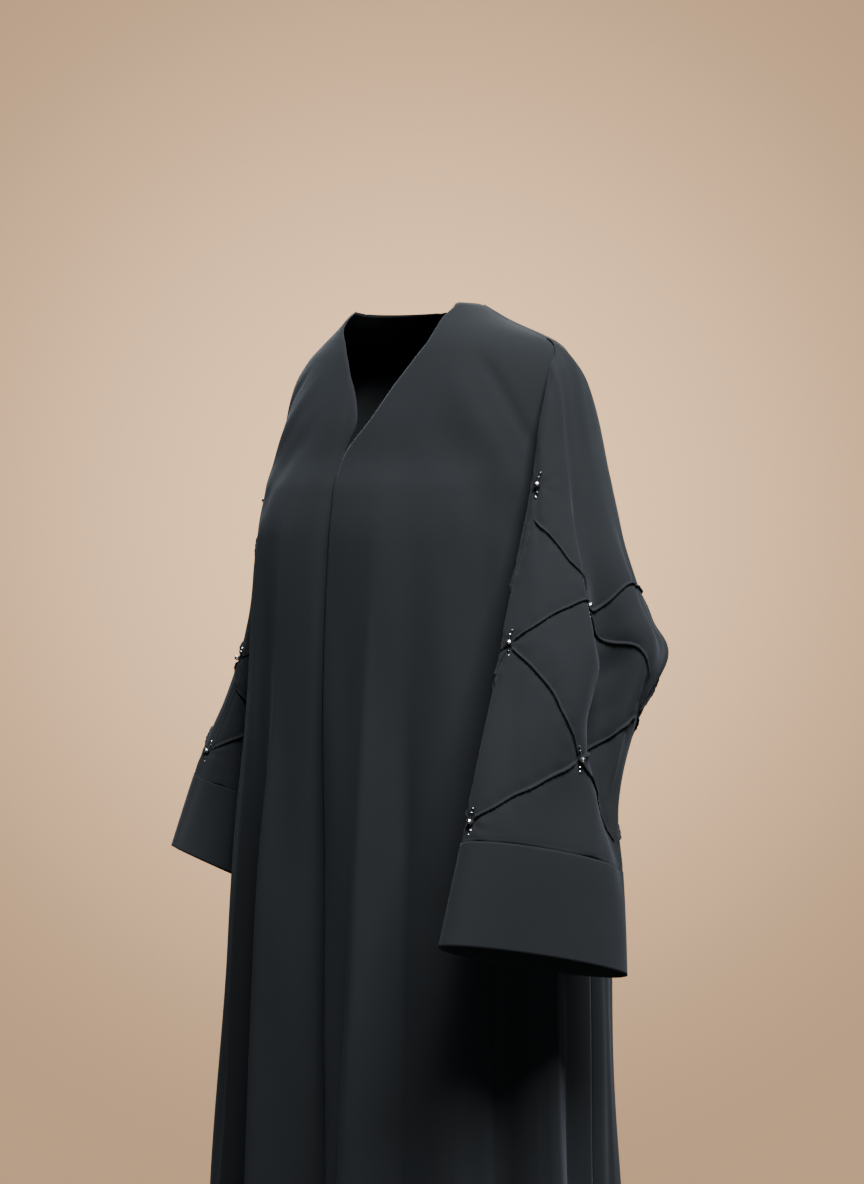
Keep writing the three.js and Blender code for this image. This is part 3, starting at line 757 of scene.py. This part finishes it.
def sleeve_form(table, side, deg, section):
    deg, section = np.broadcast_arrays(np.asarray(deg, float), np.asarray(section, float))
    row = on_curve(table, section)
    front, back_edge = row[..., 1:4], row[..., 4:7]
    lift, outer, drop, under, crease, pinch, fold_at, fold = np.moveaxis(row[..., 7:], -1, 0)
    half = (front - back_edge) / 2
    level = unit(np.stack([-half[..., 1], half[..., 0], np.zeros_like(deg)], axis=-1))
    over = deg <= 180
    turn = np.abs(np.sin(np.radians(deg)))
    angle = np.radians(np.where(over, lift, drop))
    up = np.array([0, 0, 1.0])
    out = level * np.cos(angle)[..., None] + up * np.sin(angle)[..., None]
    dent = np.where(over, fold * np.exp(-(((deg - fold_at) / FOLD_HALF_WIDTH) ** 2)), 0)
    stand = np.where(over, outer, under) * turn**crease - dent
    even = np.where(over, 1 - deg / 90, deg / 90 - 3)
    along = np.cos(np.radians(deg)) * (1 - pinch) + even * pinch
    point = (front + back_edge) / 2 + half * along[..., None] + out * stand[..., None]
    loop = armhole_point(side, deg)
    share = smooth(0, ARMHOLE_BLEND, section)[..., None]
    return loop + (point - loop) * share


OUTER_COLUMNS = 100
UNDER_COLUMNS = 60
ROWS_PER_SECTION = 20
sleeve_deg = np.concatenate([
    np.linspace(0, 180, OUTER_COLUMNS, endpoint=False),
    np.linspace(180, 360, UNDER_COLUMNS, endpoint=False),
])
sleeve_sections = np.linspace(0, LAST_SECTION, LAST_SECTION * ROWS_PER_SECTION + 1)
print("points round a sleeve:", len(sleeve_deg), "rows:", len(sleeve_sections))

# %% [markdown]
# The trellis is a net of narrow tucks that cross in diamonds and are sewn down at their crossings
# under small bunches of beads. Its points are given by a column round the sleeve, from 0 at the
# front edge to 20 at the back edge and on to 32 at the front again, and by a section.

# %% Trellis of tucks
TRELLIS_LEFT = {
    "shoulder": (4, 1.9), "start": (3, 2.15), "elbow": (2, 4.1), "cuff": (1, 7.5),
    "upper": (9, 4), "lower": (10, 6.45), "back_top": (17, 3.5), "back": (16, 5.8),
    "back_cuff": (17, 7.6), "under_upper": (26, 4), "under_lower": (26, 6.4),
}
TRELLIS_RIGHT = {
    **TRELLIS_LEFT, "elbow": (3, 5), "cuff": (1, 7.2), "upper": (9, 4.2), "back": (16, 5.9),
    "under_lower": (26, 6.3),
}
TRELLIS = {"left": TRELLIS_LEFT, "right": TRELLIS_RIGHT}
TUCKS = [
    ("start", "upper"), ("elbow", "upper"), ("elbow", "lower"), ("cuff", "lower"),
    ("upper", "back_top"), ("upper", "back"), ("lower", "back"), ("lower", "back_cuff"),
    ("start", "under_upper"), ("elbow", "under_upper"), ("elbow", "under_lower"),
    ("cuff", "under_lower"), ("back_top", "under_upper"), ("back", "under_upper"),
    ("back", "under_lower"), ("back_cuff", "under_lower"),
]
BEADED = ("shoulder", "elbow", "cuff", "upper", "lower", "under_upper", "under_lower")
TRELLIS_COLUMNS = 32
OUTER_TRELLIS = 20


def column_deg(column):
    """Degrees round the sleeve of a trellis column."""
    column = np.mod(column, TRELLIS_COLUMNS)
    outer = column * 180 / OUTER_TRELLIS
    under = 180 + (column - OUTER_TRELLIS) * 180 / (TRELLIS_COLUMNS - OUTER_TRELLIS)
    return np.where(column <= OUTER_TRELLIS, outer, under)


def tuck_places(trellis, start, end, count):
    """Columns and sections of points spread evenly along a tuck."""
    (column_a, section_a), (column_b, section_b) = trellis[start], trellis[end]
    if abs(column_b - column_a) > TRELLIS_COLUMNS / 2:
        column_a += TRELLIS_COLUMNS
    share = np.linspace(0, 1, count)
    return column_a + (column_b - column_a) * share, section_a + (section_b - section_a) * share


def on_sleeve(grid, column, section):
    """Points of a finished sleeve grid at trellis columns and sections."""
    deg = column_deg(column)
    turns = np.where(
        deg < 180, deg / 180 * OUTER_COLUMNS, OUTER_COLUMNS + (deg - 180) / 180 * UNDER_COLUMNS
    )
    round_columns = grid.shape[1]
    j = np.floor(turns).astype(int)
    row = np.clip(section * ROWS_PER_SECTION, 0, grid.shape[0] - 1.001)
    i = np.floor(row).astype(int)
    a, b = (turns - j)[..., None], (row - i)[..., None]
    j0, j1 = j % round_columns, (j + 1) % round_columns
    upper = grid[i, j0] * (1 - a) + grid[i, j1] * a
    lower = grid[i + 1, j0] * (1 - a) + grid[i + 1, j1] * a
    return upper * (1 - b) + lower * b


print("tucks on each sleeve:", len(TUCKS))

# %% [markdown]
# Where a tuck is sewn the cloth beside it is drawn in and puckers a little. Round each tuck the
# surface gets a shallow trough with short ripples across it, and round each bunch of beads a dent
# from which small creases run out.

# %% Puckers and creases of a sleeve
TROUGH = 0.9
TROUGH_WIDTH = 6.0
RIPPLE = 0.3
RIPPLE_LENGTH = 19.0
RIPPLE_WIDTH = 9.0
DENT = 1.6
DENT_WIDTH = 8.0
RIPPLE_SHIFT = 5.0
RAYS = 7
RAY_HEIGHT = 0.5
RAY_REACH = 22
RAY_FROM = 2
RAY_FULL = 9
# The pucker fades out towards the seam of the cuff.
PUCKER_STOPS = CUFF_SECTION + 0.05
PUCKER_FADES = CUFF_SECTION - 0.35
PATH_POINTS = 40

# Columns: degrees and section of one end, degrees and section of the other, half width, depth
SLEEVE_CREASES = {
    "left": [
        (62, 0.3, 67, 2.6, 7, 2.4),
        (67, 2.2, 75, 5.1, 6, 3.4),
        (74, 2.4, 83, 5.2, 8, -3.4),
        (75, 4.7, 118, 6.5, 6, 3.4),
        (118, 6.2, 146, 7.4, 6, 3.0),
        (84, 0.4, 90, 2.6, 9, -2.4),
        (24, 0.9, 44, 3.4, 7, -1.6),
        (100, 4.6, 122, 6.6, 22, -5),
        (92, 3.4, 103, 5.6, 10, -3),
        (103, 5.3, 130, 6.9, 10, -5),
        (120, 2.8, 138, 5.2, 10, -4.0),
        (146, 3.4, 160, 5.4, 8, 3.0),
        (130, 5.2, 150, 7.4, 9, -3.0),
        (30, 5.0, 52, 7.6, 9, -1.6),
        (48, 4.4, 74, 6.1, 7, 1.4),
        (230, 2.5, 250, 6.5, 10, -3.0),
        (300, 3.0, 286, 7.0, 10, -2.5),
    ],
    "right": [
        (62, 0.3, 66, 3.6, 8, 2.2),
        (110, 2.8, 128, 5.2, 10, -3.0),
        (140, 3.4, 156, 5.4, 8, 2.4),
        (40, 3.2, 62, 6.6, 9, -2.0),
        (230, 2.5, 250, 6.5, 10, -1.6),
        (300, 3.0, 286, 7.0, 10, -1.6),
    ],
}
MM_PER_DEG_ROUND = 1.5
MM_PER_SECTION = 46.0


def pucker(form, trellis):
    """How far the tucks and bead bunches draw the cloth in at each point of a sleeve."""
    rows = CUFF_SECTION * ROWS_PER_SECTION + 1
    cloth = form[:rows]
    depth = np.zeros(form.shape[:2])
    near = np.full(cloth.shape[:2], 1e9)
    run = np.zeros_like(near)
    for number, (start, end) in enumerate(TUCKS):
        path = on_sleeve(form, *tuck_places(trellis, start, end, PATH_POINTS))
        walked = lengths_along(path[:, None], 0)[:, 0]
        for point, length in zip(path, walked):
            away = np.linalg.norm(cloth - point, axis=-1)
            closer = away < near
            near = np.where(closer, away, near)
            run = np.where(closer, length + number * RIPPLE_SHIFT, run)
    trough = -TROUGH * np.exp(-((near / TROUGH_WIDTH) ** 2))
    ripple = RIPPLE * np.exp(-((near / RIPPLE_WIDTH) ** 2))
    depth[:rows] += trough + ripple * np.sin(2 * np.pi * run / RIPPLE_LENGTH)
    for spot in BEADED:
        centre = on_sleeve(form, *trellis[spot])
        offset = cloth - centre
        away = np.linalg.norm(offset, axis=-1)
        turn = np.arctan2(offset[..., 2], np.hypot(offset[..., 0], offset[..., 1]))
        rays = RAY_HEIGHT * np.cos(RAYS * turn) * np.exp(-((away / RAY_REACH) ** 2))
        rays *= smooth(RAY_FROM, RAY_FULL, away)
        depth[:rows] += rays - DENT * np.exp(-((away / DENT_WIDTH) ** 2))
    return depth * smooth(PUCKER_STOPS, PUCKER_FADES, sleeve_sections)[:, None]


# %% [markdown]
# The cuff is a deep band of doubled cloth. It is a little thicker than the sleeve and stands
# slightly proud of it, so the seam between them shows as one clean dark line.

# %% Sleeves and cuffs
CUFF_CLOTH = 1.7
CUFF_PROUD = 0.5
# Creases and waviness grow over this share of the first section, away from the armhole.
FREE_SECTIONS = 0.6
SLEEVE_WAVES = 0.6
WAVES_CLOSER = 1.3
SIDES = {"left": (SLEEVE_LEFT, 1), "right": (SLEEVE_RIGHT, -1)}


def cut(grid, last_row, first_column, last_column):
    columns = np.arange(first_column, last_column + 1) % grid.shape[1]
    return grid[: last_row + 1, columns]


def turned_over(grid):
    return grid[:, ::-1] * np.array([-1, 1, 1])


def make_sleeve(name, table, side):
    deg, section = np.meshgrid(sleeve_deg, sleeve_sections)
    form = sleeve_form(table, side, deg, section)
    across, along = deg * MM_PER_DEG_ROUND, section * MM_PER_SECTION
    soft = smooth(0, FREE_SECTIONS, section)
    creases = creases_in_mm(SLEEVE_CREASES[name], MM_PER_DEG_ROUND, MM_PER_SECTION)
    depth = crease_depth(across, along, creases) * soft
    depth += pucker(form, TRELLIS[name]) * soft
    waves = SLEEVE_WAVES * waviness(across * WAVES_CLOSER, along)
    depth += waves * soft * (section < CUFF_SECTION)
    for seam in (CUFF_SECTION, 0):
        seam_rows = np.exp(-(((section - seam) * MM_PER_SECTION / SEAM_HALF) ** 2))
        depth -= SEAM_DIP * np.where(section < CUFF_SECTION, seam_rows, 0)
    normals = surface_normals(form, closed=True)
    grid = form + normals * depth[..., None]
    cuff_row = CUFF_SECTION * ROWS_PER_SECTION
    turn = turned_over if side < 0 else np.array
    cuts = {
        f"sleeve_outer_{name}": cut(grid, cuff_row, 0, OUTER_COLUMNS),
        f"sleeve_under_{name}": cut(grid, cuff_row, OUTER_COLUMNS, OUTER_COLUMNS + UNDER_COLUMNS),
        f"cuff_{name}": (form + normals * CUFF_PROUD)[cuff_row:],
    }
    panels = {}
    for node, panel in cuts.items():
        panel = turn(panel)
        is_cuff = node.startswith("cuff")
        piece = sheet_object(node, panel, CUFF_CLOTH if is_cuff else CLOTH, closed=is_cuff)
        dress(piece, crepe, [node])
        panels[node] = (piece, panel)
    print(name, "sleeve:", ", ".join(panels))
    return grid, panels


sleeves = {name: make_sleeve(name, table, side) for name, (table, side) in SIDES.items()}

# %% [markdown]
# Tucks, beads and stitches are many small shapes, so their points and faces are gathered in lists
# and each kind becomes one mesh a sleeve.

# %% Gathering small shapes
class Shapes:
    """Points in millimetres and faces of many small closed shapes, joined as they are added."""

    def __init__(self):
        self.points, self.faces, self.places, self.count = [], [], [], 0

    def add(self, points, faces, places=None):
        points = np.asarray(points, float)
        anchor = points.mean(axis=0)
        volume = sum(
            np.dot(points[f[0]] - anchor, np.cross(points[f[k]] - anchor, points[f[k + 1]] - anchor))
            for f in faces
            for k in range(1, len(f) - 1)
        )
        if volume < 0:
            faces = [f[::-1] for f in faces]
        self.points.append(points)
        self.faces.extend([[v + self.count for v in f] for f in faces])
        self.places.append(np.zeros((len(points), 2)) if places is None else np.asarray(places))
        self.count += len(points)

    def make(self, name, round_faces):
        mesh = bpy.data.meshes.new(name)
        mesh.from_pydata((np.concatenate(self.points) * MM).tolist(), [], self.faces)
        mesh.polygons.foreach_set("use_smooth", np.full(len(self.faces), round_faces))
        places = np.concatenate(self.places) * MM
        corner = np.zeros(len(mesh.loops), np.int32)
        mesh.loops.foreach_get("vertex_index", corner)
        layer = mesh.uv_layers.new(name="cloth")
        layer.data.foreach_set("uv", places[corner].ravel())
        mesh.update()
        return in_scene(name, mesh)


def tube_sides(count, sides):
    """Ring number and two corners of each side face of a tube of rings."""
    for k in range(count - 1):
        for j in range(sides):
            yield k, k * sides + j, k * sides + (j + 1) % sides


def tube_ends(count, sides):
    """Flat caps at both ends of a tube of rings."""
    last = (count - 1) * sides
    return [list(range(sides))[::-1], list(range(last, last + sides))]


def rings_to_faces(count, sides):
    """Faces of a closed tube of rings, with a flat cap at each end."""
    faces = [[a, b, b + sides, a + sides] for _, a, b in tube_sides(count, sides)]
    return faces + tube_ends(count, sides)


# %% [markdown]
# A tuck is cloth pinched up into a narrow ridge that leans over a little under its own weight. Its
# section is swept along its path on the sleeve. The path wanders slightly from side to side, and
# the ridge swells and sinks a little along it. It sinks into the cloth under the beads.

# %% Tucks
TUCK_SECTION = [
    (-2.9, -0.5), (-1.5, 0.15), (-0.85, 1.3), (-0.35, 2.35), (0.45, 2.75),
    (1.25, 2.2), (1.3, 1.3), (1.35, 0.1), (2.6, -0.5), (0, -0.9),
]
TUCK_STEP = 2.0
TUCK_WANDER = 0.5
TUCK_WANDER_LENGTH = 41.0
TUCK_SWELL = 0.1
TUCK_SWELL_LENGTH = 7.5
TUCK_END = 9.0
TUCK_LEAST = 0.12
TUCK_SINK = 0.5
ROUGH_POINTS = 30
STITCH_EVERY = 3.2
STITCH_LENGTH = 2.1
STITCH_HALF = 0.17
STITCH_AWAY = 2.1
STITCH_RISE = 0.12
STITCH_RINGS = [(-0.5, 0.4), (-0.3, 1), (0.3, 1), (0.5, 0.4)]


class Sleeve:
    """The finished cloth of one sleeve, worked out as a left one."""

    def __init__(self, name, grid, side):
        self.name, self.grid, self.side = name, grid, side
        self.normals = surface_normals(grid, closed=True)
        self.trellis = TRELLIS[name]

    def point(self, column, section):
        return on_sleeve(self.grid, column, section)

    def normal(self, column, section):
        return unit(on_sleeve(self.normals, column, section))

    def placed(self, points):
        return points * np.array([self.side, 1, 1])


def tuck_path(sleeve, start, end):
    """Points along a tuck, with the directions up from the cloth and across the tuck."""
    rough = sleeve.point(*tuck_places(sleeve.trellis, start, end, ROUGH_POINTS))
    length = np.linalg.norm(np.diff(rough, axis=0), axis=1).sum()
    places = tuck_places(sleeve.trellis, start, end, int(length / TUCK_STEP) + 1)
    points, up = sleeve.point(*places), sleeve.normal(*places)
    along = unit(np.gradient(points, axis=0))
    across = unit(np.cross(up, along))
    if across[:, 2].sum() > 0:
        across = -across
    walked = lengths_along(points[:, None], 0)[:, 0]
    wander = TUCK_WANDER * np.sin(2 * np.pi * walked / TUCK_WANDER_LENGTH + length)
    free = smooth(0, TUCK_END, walked) * smooth(0, TUCK_END, walked[-1] - walked)
    return points + across * (wander * free)[:, None], up, across, along, walked, free


def add_tuck(shapes, stitches, sleeve, start, end):
    points, up, across, along, walked, free = tuck_path(sleeve, start, end)
    section = np.array(TUCK_SECTION, float)
    swell = 1 + TUCK_SWELL * np.sin(2 * np.pi * walked / TUCK_SWELL_LENGTH)
    size = np.maximum(free, TUCK_LEAST)
    side_step = section[None, :, 0] * size[:, None]
    rise = section[None, :, 1] * (size * swell)[:, None] - TUCK_SINK * (1 - free)[:, None]
    rings = points[:, None] + across[:, None] * side_step[..., None] + up[:, None] * rise[..., None]
    edge = np.cumsum(np.hypot(*np.diff(section, axis=0, prepend=section[:1]).T))
    places = np.stack(np.broadcast_arrays(edge[None, :], walked[:, None]), axis=-1)
    faces = rings_to_faces(len(points), len(section))
    shapes.add(sleeve.placed(rings.reshape(-1, 3)), faces, places.reshape(-1, 2))
    for at in np.arange(TUCK_END, walked[-1] - TUCK_END, STITCH_EVERY):
        k = int(np.searchsorted(walked, at))
        centre = points[k] + across[k] * STITCH_AWAY + up[k] * STITCH_RISE
        ring = []
        for end_at, reach in STITCH_RINGS:
            for a, b in ((-1, 0), (0, 1), (1, 0), (0, -1)):
                ring.append(
                    centre + along[k] * STITCH_LENGTH * end_at
                    + (across[k] * a + up[k] * b) * STITCH_HALF * reach
                )
        faces = rings_to_faces(len(STITCH_RINGS), 4)
        stitches.add(sleeve.placed(np.array(ring)), faces)


# %% [markdown]
# At each crossing a short string of black glass is sewn on: a wide faceted bead in the middle with
# two small ones above and two below, threaded so that the string hangs down the sleeve.

# %% Beads
BEAD_SECTION = [(1.2, 2.6), (3.0, 1.9), (3.9, 0.1), (3.0, -1.8), (1.2, -2.6)]
BEAD_SIDES = 10
SMALL_BEAD = 0.38
STRING = [
    (-12.4, SMALL_BEAD), (-8.2, SMALL_BEAD * 1.1), (-0.4, 1.0),
    (7.4, SMALL_BEAD * 1.1), (11.6, SMALL_BEAD),
]
STRING_SIDES = 6
STRING_HALF = 0.28
STRING_TAIL = 3
STRING_SINK = 0.3
BEAD_LIFT = 0.7
SWAY = 0.9
SWAY_AT = 10
SWAY_TURN = 1.9
LEAN = 0.15
COLUMN_TURN = 1.7
LEAN_TURN = 3


def faceted_bead(size, turn):
    """Points in the bead's own frame, with every other ring turned by half a facet, and its faces."""
    points = []
    for k, (reach, height) in enumerate(BEAD_SECTION):
        for j in range(BEAD_SIDES):
            angle = 2 * math.pi * (j + 0.5 * (k % 2)) / BEAD_SIDES + turn
            points.append((reach * math.cos(angle) * size, reach * math.sin(angle) * size, height * size))
    faces = []
    for k, a, b in tube_sides(len(BEAD_SECTION), BEAD_SIDES):
        c, d = a + BEAD_SIDES, b + BEAD_SIDES
        faces += [[a, b, d], [a, d, c]] if k % 2 else [[a, b, c], [b, d, c]]
    return np.array(points), faces + tube_ends(len(BEAD_SECTION), BEAD_SIDES)


def add_bead_string(beads, threads, sleeve, spot):
    column, section = sleeve.trellis[spot]
    centre, up = sleeve.point(column, section), sleeve.normal(column, section)
    down = np.array([0, 0, -1.0])
    down = unit(down - up * np.dot(down, up))
    across = np.cross(up, down)
    seed = column * COLUMN_TURN + section
    line = [centre + down * (STRING[0][0] - STRING_TAIL) - up * STRING_SINK]
    for number, (at, size) in enumerate(STRING):
        sway = SWAY * math.sin(seed + SWAY_TURN * number) * abs(at) / SWAY_AT
        lift = BEAD_SECTION[2][0] * size + BEAD_LIFT
        place = centre + down * at + across * sway + up * lift
        line.append(place)
        lean = unit(down + across * LEAN * math.sin(seed * LEAN_TURN + number))
        sideways = unit(np.cross(lean, up))
        points, faces = faceted_bead(size, seed + number)
        points = points @ np.stack([sideways, np.cross(lean, sideways), lean])
        beads.add(sleeve.placed(place + points), faces)
    line.append(centre + down * (STRING[-1][0] + STRING_TAIL) - up * STRING_SINK)
    line = np.array(line)
    along = unit(np.gradient(line, axis=0))
    side = unit(np.cross(along, up))
    rings = []
    for k, place in enumerate(line):
        for j in range(STRING_SIDES):
            angle = 2 * math.pi * j / STRING_SIDES
            rings.append(place + (side[k] * math.cos(angle) + up * math.sin(angle)) * STRING_HALF)
    threads.add(sleeve.placed(np.array(rings)), rings_to_faces(len(line), STRING_SIDES))


# %% [markdown]
# The beads are black glass, so they show only as small bright sparks and dark edges. The thread is
# black too, with a slight shine.

# %% Glass and thread
THREAD_DARK = (0.006, 0.007, 0.008, 1)
THREAD_LIGHT = (0.016, 0.018, 0.019, 1)
GLASS_COLOUR = (0.012, 0.012, 0.014, 1)


def glass_material():
    material, tree, shader = new_material("black glass")
    wear = add_noise(tree, Scale=260.0, Detail=2.0)
    vary_roughness(tree, shader, wear, low=0.12, high=0.3)
    set_values(shader, Base_Color=GLASS_COLOUR, IOR=2.2, Specular_IOR_Level=1.0)
    return material


glass = glass_material()
thread = clouded_material("thread", THREAD_DARK, THREAD_LIGHT, 0.5, Scale=1800.0, Detail=2.0)
tuck_pieces = {}
for name, (_, side) in SIDES.items():
    sleeve = Sleeve(name, sleeves[name][0], side)
    tuck_shapes, bead_shapes, thread_shapes = Shapes(), Shapes(), Shapes()
    for start, end in TUCKS:
        add_tuck(tuck_shapes, thread_shapes, sleeve, start, end)
    for spot in BEADED:
        add_bead_string(bead_shapes, thread_shapes, sleeve, spot)
    tuck_pieces[name] = tuck_shapes.make(f"tucks_{name}", True)
    dress(tuck_pieces[name], crepe, [f"tuck_{name}_{a}_{b}" for a, b in TUCKS])
    beads = bead_shapes.make(f"beads_{name}", False)
    dress(beads, glass, [f"bead_{name}_{spot}" for spot in BEADED])
    dress(thread_shapes.make(f"threads_{name}", True), thread, [])
    print(name, "tuck faces:", len(tuck_shapes.faces), "bead faces:", len(bead_shapes.faces))

# %% [markdown]
# The panels of the body print the size they are cut to as they are made. The cut is the widest and
# longest measure of the piece laid flat. The sleeves hang from the panels at the shoulder.


# %% [markdown]
# The garment stands inside a wide beige dome that glows softly and is brightest behind it, as the
# camera sees it. The glow is painted light: a pool of light on the backdrop behind the garment,
# fading to darker towards the edges. The dome throws no light on the garment: that comes from the
# lamps and from a faint even light all round.

# %% Backdrop
DOME_REACH = 4.2
DOME_MIDDLE = -0.35
DOME_COLUMNS = 64
DOME_ROWS = 32
# Painted light: the dome's glow, bright behind the garment and darker away from it.
BACKDROP_BRIGHT = (1.75, 1.08, 0.59, 1)
BACKDROP_DARK = (0.66, 0.41, 0.232, 1)
GLOW_CORE = 0.2
GLOW_REACH = 2.6

facing = Vector((-math.sin(CAMERA_TURN), math.cos(CAMERA_TURN), 0))
glow_at = facing * DOME_REACH


def dome_point(row, column):
    up = math.pi * row / DOME_ROWS
    turn = 2 * math.pi * column / DOME_COLUMNS
    return (
        DOME_REACH * math.sin(up) * math.cos(turn),
        DOME_REACH * math.sin(up) * math.sin(turn),
        DOME_MIDDLE + DOME_REACH * math.cos(up),
    )


def backdrop_material():
    material, tree, _ = new_material("backdrop")
    tree.nodes.clear()
    where = add_node(tree, "ShaderNodeTexCoord")
    away = add_node(tree, "ShaderNodeVectorMath", operation="DISTANCE")
    away.inputs[1].default_value = (glow_at.x, glow_at.y, DOME_MIDDLE)
    tree.links.new(where.outputs["Object"], away.inputs[0])
    share = add_node(tree, "ShaderNodeMapRange", interpolation_type="SMOOTHSTEP")
    set_values(share, From_Min=GLOW_CORE, From_Max=GLOW_REACH)
    tree.links.new(away.outputs["Value"], share.inputs["Value"])
    glow = add_node(tree, "ShaderNodeEmission", Strength=1.0)
    result = share.outputs["Result"]
    mix_colours(tree, result, BACKDROP_BRIGHT, BACKDROP_DARK, glow.inputs["Color"])
    output = add_node(tree, "ShaderNodeOutputMaterial")
    tree.links.new(glow.outputs["Emission"], output.inputs["Surface"])
    return material


def stage_piece(name, points, faces, material):
    """A piece of the set. The garment gets no soft light back from it."""
    mesh = bpy.data.meshes.new(name)
    mesh.from_pydata(points, [], faces)
    mesh.update()
    mesh.materials.append(material)
    piece = in_scene(name, mesh)
    piece.visible_diffuse = False
    return piece


dome_points = [dome_point(r, c) for r in range(DOME_ROWS + 1) for c in range(DOME_COLUMNS)]
dome_faces = [
    (a, b, b + DOME_COLUMNS, a + DOME_COLUMNS)
    for _, a, b in tube_sides(DOME_ROWS + 1, DOME_COLUMNS)
]
dome = stage_piece("dome", dome_points, dome_faces, backdrop_material())
dome.visible_glossy = False
dome.visible_shadow = False
print("points on the dome:", len(dome_points))

# %% [markdown]
# The hem hangs a little above a pale round floor. It is small enough to lie outside the picture,
# which ends above it, and shows only from further off.

# %% Floor
FLOOR_GAP = 0.025
FLOOR_REACH = 0.85
FLOOR_SIDES = 128
FLOOR_DARK = (0.50, 0.42, 0.35, 1)
FLOOR_LIGHT = (0.56, 0.47, 0.40, 1)

height = cad_box[0][2] - FLOOR_GAP
turns = [2 * math.pi * k / FLOOR_SIDES for k in range(FLOOR_SIDES)]
rim = [(FLOOR_REACH * math.cos(a), FLOOR_REACH * math.sin(a), height) for a in turns]
pale = clouded_material("pale floor", FLOOR_DARK, FLOOR_LIGHT, 0.8, Scale=9.0, Detail=4.0)
stage_piece("floor", rim, [tuple(range(FLOOR_SIDES))], pale)
print("floor at", round(height, 3), "m")

# %% [markdown]
# A broad light high in front of the garment does most of the work, as ceiling lights do in a shop.
# A weak one near the floor keeps the shadow under the cuff from going black, one above draws the
# shoulders out, and one behind shows the folds of the back.

# %% Lights
LIGHT_AIM = (0, 0, -0.45)
KEY_AIM = (0, 0, -0.25)
AIR_COLOUR = (0.92, 0.96, 1.0, 1)
AIR_STRENGTH = 0.08


def soft_light(name, turn, away, height, size, power, aim=LIGHT_AIM):
    """An area light round the garment: turn is in degrees from the camera, to its right."""
    data = bpy.data.lights.new(name, "AREA")
    data.shape = "RECTANGLE"
    data.size, data.size_y = size
    data.energy = power
    angle = CAMERA_TURN + math.radians(turn)
    lamp = in_scene(name, data)
    lamp.location = (away * math.sin(angle), -away * math.cos(angle), height)
    lamp.rotation_euler = (Vector(aim) - lamp.location).to_track_quat("-Z", "Y").to_euler()


# Degrees from the camera, distance and height, width and length in metres, power in watts
soft_light("key", 20, 1.7, 2.2, (1.6, 1.0), 410, KEY_AIM)
soft_light("low", 4, 2.5, -1.0, (1.4, 1.0), 10)
soft_light("top", 150, 1.0, 2.0, (2.2, 1.6), 6)
soft_light("back", 180, 2.4, 1.3, (1.6, 1.6), 240)

world = bpy.data.worlds.new("studio air")
world.use_nodes = True
set_values(world.node_tree.nodes["Background"], Color=AIR_COLOUR, Strength=AIR_STRENGTH)
bpy.context.scene.world = world
